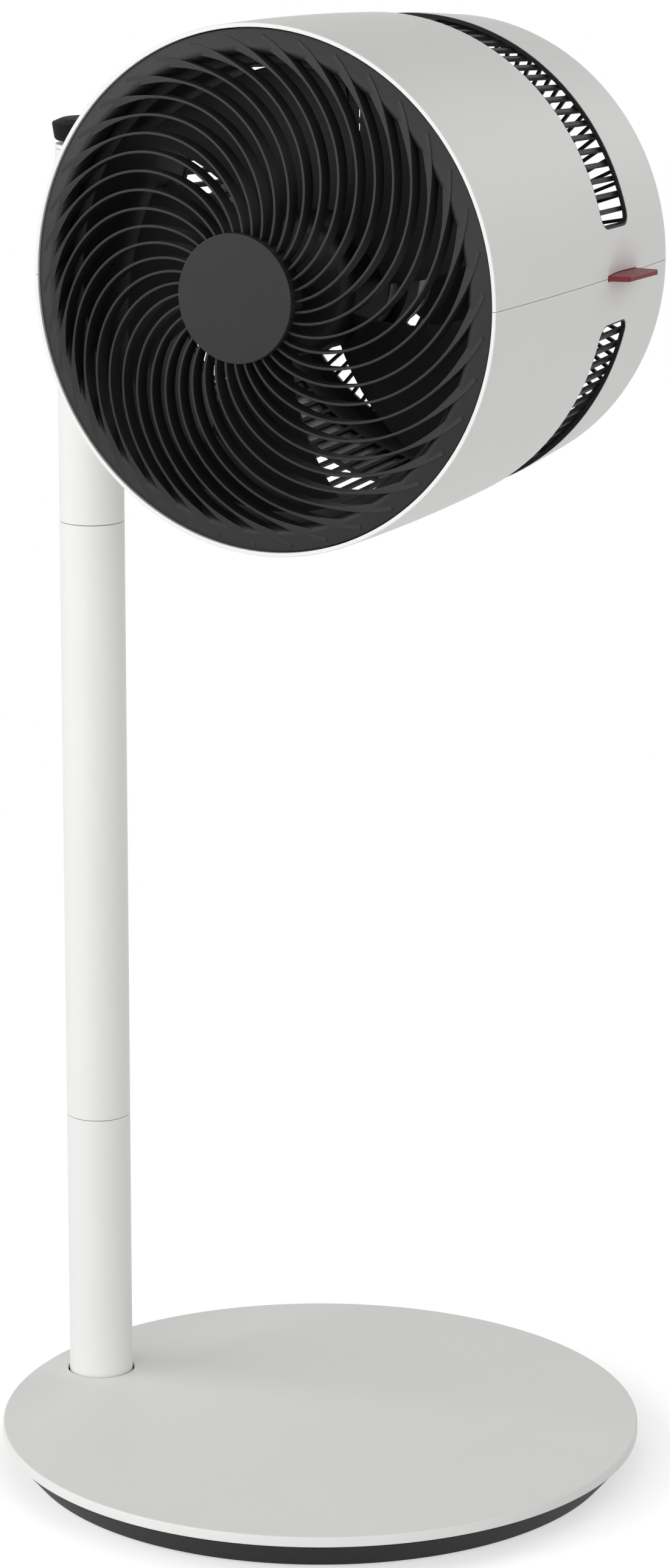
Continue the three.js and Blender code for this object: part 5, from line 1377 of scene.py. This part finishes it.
@dataclass
class FragranceTray:
    """Thin red plate with its pull tab, and the felt pad that it carries."""

    thickness: float = 2.5
    reach: float = 11.3
    slant: float = 3.6
    corner: float = 1.6
    pocket_floor: float = 0.8

    def plate(self, drum: Drum) -> bpy.types.Object:
        """Makes the plate with its slanted tab and the pad's pocket."""
        low, high = (corner / MM - Vector(HEAD_ORIGIN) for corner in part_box("fragrance_tray"))
        mouth = high.x - self.reach
        outline = rounded([
            (low.x, low.y, 0.5), (mouth, low.y, 0.5), (high.x, low.y + self.slant, self.corner),
            (high.x, high.y, self.corner), (low.x, high.y, 0.5)], steps=6)
        half = self.thickness / 2
        plate = Draft(HEAD_ORIGIN).prism(outline, -half, half).solid("scent_tray")
        pad_low, pad_high = (corner / MM - Vector(HEAD_ORIGIN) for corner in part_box("fragrance_pad"))
        pocket = [(pad_low.x - 0.3, pad_low.y - 0.3), (pad_high.x + 0.3, pad_low.y - 0.3),
                  (pad_high.x + 0.3, pad_high.y + 0.3), (pad_low.x - 0.3, pad_high.y + 0.3)]
        cutter = Draft(HEAD_ORIGIN).prism(pocket, self.pocket_floor - half, half + 1).solid("pocket")
        return soften(carve(plate, cutter), 0.4, 3)

    def pad(self) -> bpy.types.Object:
        """Makes the felt pad: a pressed block with soft, slightly uneven edges."""
        low, high = (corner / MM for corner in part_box("fragrance_pad"))
        rise = high.z - low.z
        steps = 24
        loops = []
        for level, inset in ((0.0, 0.35), (0.18, 0.05), (0.5, 0.0), (0.82, 0.05), (1.0, 0.4)):
            outline = []
            sides = [((low.x, low.y), (high.x, low.y)), ((high.x, low.y), (high.x, high.y)),
                     ((high.x, high.y), (low.x, high.y)), ((low.x, high.y), (low.x, low.y))]
            middle = Vector(((low.x + high.x) / 2, (low.y + high.y) / 2))
            for start, end in sides:
                for k in range(steps):
                    spot = Vector(start).lerp(Vector(end), k / steps)
                    pull = inset + 0.08 * abs(math.sin(7.3 * spot.x + 5.1 * spot.y))
                    spot += (middle - spot).normalized() * pull
                    outline.append((spot.x, spot.y, low.z + rise * level))
            loops.append(outline)
        return Draft().skin(loops, capped=True).solid("felt_pad", sharp=60)

    def build(self, drum: Drum) -> None:
        """Builds and dresses the tray."""
        place(self.plate(drum), "fragrance_tray", "red_plastic", CRIMSON_PC, "fragrance_tray")
        pad = place(self.pad(), "fragrance_tray", "felt", FELT, "fragrance_pad")
        dress("tray_guide", BLACK_PP_INNER)


# ---------------------------------------------------------------------------- studio


@dataclass
class Studio:
    """Plain pale floor, soft light and the camera at the photograph's viewing angle."""

    azimuth: float = 30.07
    elevation: float = 13.29
    distance: float = 2420.0
    target_height: float = 389.3
    focal_pixels: float = 7942.8
    image_width: int = 1101
    image_height: int = 2576
    axis_pixel: Flat = (526.4, 1185.4)
    sensor: float = 36.0
    ambient: float = 0.31
    floor_radius: float = 4000.0

    def camera(self) -> None:
        """Sets the camera where the photograph was taken from."""
        data = bpy.data.cameras.new("camera")
        data.sensor_width = self.sensor
        data.lens = self.focal_pixels / self.image_height * self.sensor
        data.shift_x = (self.image_width / 2 - self.axis_pixel[0]) / self.image_height
        data.shift_y = (self.axis_pixel[1] - self.image_height / 2) / self.image_height
        data.clip_end = 50
        camera = bpy.data.objects.new("camera", data)
        around, up = math.radians(self.azimuth), math.radians(self.elevation)
        back = Vector((math.sin(around) * math.cos(up), -math.cos(around) * math.cos(up), math.sin(up)))
        camera.location = (Vector((0, 0, self.target_height)) + back * self.distance) * MM
        camera.rotation_mode = "QUATERNION"
        camera.rotation_quaternion = (-back).to_track_quat("-Z", "Y")
        bpy.context.scene.collection.objects.link(camera)
        bpy.context.scene.camera = camera

    def lamp(self, name: str, place_at: Point, size: float, power: float) -> None:
        """Adds a square soft lamp that looks at the middle of the fan.

        Args:
            name: The lamp's name.
            place_at: Where it hangs, in metres.
            size: Its side, in metres.
            power: Its power, in watts.
        """
        data = bpy.data.lights.new(name, "AREA")
        data.size = size
        data.energy = power
        lamp = bpy.data.objects.new(name, data)
        lamp.location = place_at
        aim = Vector((0, 0, self.target_height * MM)) - lamp.location
        lamp.rotation_mode = "QUATERNION"
        lamp.rotation_quaternion = aim.to_track_quat("-Z", "Y")
        lamp.visible_camera = False
        bpy.context.scene.collection.objects.link(lamp)

    def seen_directly(self, tree: bpy.types.NodeTree) -> bpy.types.NodeSocket:
        """Gives 1 for rays that show the backdrop itself, in the picture or in a reflection."""
        path = add_node(tree, "ShaderNodeLightPath")
        either = add_node(tree, "ShaderNodeMath", {
            0: path.outputs["Is Camera Ray"], 1: path.outputs["Is Glossy Ray"]}, operation="MAXIMUM")
        every = add_node(tree, "ShaderNodeMath", {
            0: either.outputs[0], 1: path.outputs["Is Transmission Ray"]}, operation="MAXIMUM")
        return every.outputs[0]

    def world(self) -> None:
        """Makes a white backdrop that lights the fan only softly."""
        world = bpy.data.worlds.new("studio")
        world.use_nodes = True
        tree = world.node_tree
        tree.nodes.clear()
        soft = add_node(tree, "ShaderNodeBackground", {"Color": srgb("#ffffff"), "Strength": self.ambient})
        white = add_node(tree, "ShaderNodeBackground", {"Color": srgb("#ffffff"), "Strength": 1.0})
        mixed = add_node(tree, "ShaderNodeMixShader", {
            0: self.seen_directly(tree), 1: soft.outputs[0], 2: white.outputs[0]})
        add_node(tree, "ShaderNodeOutputWorld", {"Surface": mixed.outputs[0]})
        bpy.context.scene.world = world

    def floor(self) -> None:
        """Makes the pale floor, which keeps the fan's shadow near it and fades to white."""
        draft = Draft()
        loops = [[Axis.Z.spun(r, 0, 2 * math.pi * k / 96) for k in range(96)] for r in (0, self.floor_radius)]
        draft.skin(loops)
        floor = draft.solid("floor")
        material = bpy.data.materials.new("pale_studio_floor")
        material.use_nodes = True
        tree = material.node_tree
        tree.nodes.clear()
        place_at = add_node(tree, "ShaderNodeTexCoord").outputs["Object"]
        away = add_node(tree, "ShaderNodeVectorMath", {0: place_at}, operation="LENGTH")
        fade = add_node(tree, "ShaderNodeMapRange", {
            "Value": away.outputs["Value"], "From Min": 0.25, "From Max": 1.0}, interpolation_type="SMOOTHSTEP")
        grit = add_node(tree, "ShaderNodeTexNoise", {"Vector": place_at, "Scale": 1 / (3 * MM), "Detail": 2.0})
        tone = add_node(tree, "ShaderNodeMix", {
            0: grit.outputs["Fac"], 6: srgb("#f2f2f1"), 7: srgb("#ececeb")}, data_type="RGBA")
        matt = add_node(tree, "ShaderNodeBsdfDiffuse", {"Color": tone.outputs[2]})
        lift = add_node(tree, "ShaderNodeEmission", {"Color": srgb("#ffffff"), "Strength": 0.52})
        lifted = add_node(tree, "ShaderNodeAddShader", {0: matt.outputs[0], 1: lift.outputs[0]})
        white = add_node(tree, "ShaderNodeEmission", {"Color": srgb("#ffffff"), "Strength": 1.0})
        faded = add_node(tree, "ShaderNodeMixShader", {0: fade.outputs[0], 1: lifted.outputs[0], 2: white.outputs[0]})
        shown = add_node(tree, "ShaderNodeMixShader", {
            0: self.seen_directly(tree), 1: matt.outputs[0], 2: faded.outputs[0]})
        add_node(tree, "ShaderNodeOutputMaterial", {"Surface": shown.outputs[0]})
        floor.data.materials.append(material)

    def build(self) -> None:
        """Builds the studio."""
        self.camera()
        self.world()
        self.floor()
        self.lamp("key_from_the_left", (-2.6, -2.0, 1.6), 3.0, 53)
        self.lamp("fill_from_the_front", (0.2, -3.0, 1.0), 2.2, 32)
        self.lamp("fill_from_the_right", (2.7, -1.6, 1.1), 2.0, 17)
        self.lamp("light_from_behind", (1.0, 2.7, 2.0), 1.8, 15)
        bpy.context.scene.view_settings.view_transform = "Standard"


# ---------------------------------------------------------------------------- the whole fan


def main() -> None:
    """Builds the fan and its studio."""
    logging.basicConfig(level=logging.INFO, format="%(name)s: %(message)s")
    Studio().build()
    Base().build()
    Pole().build()
    Knob().build()
    TiltPivot().build()
    drum = Drum()
    drum.build()
    FrontGrille().build()
    AirPath().build(drum)
    RearCage().build(drum)
    FragranceTray().build(drum)


if __name__ == "__main__":
    main()
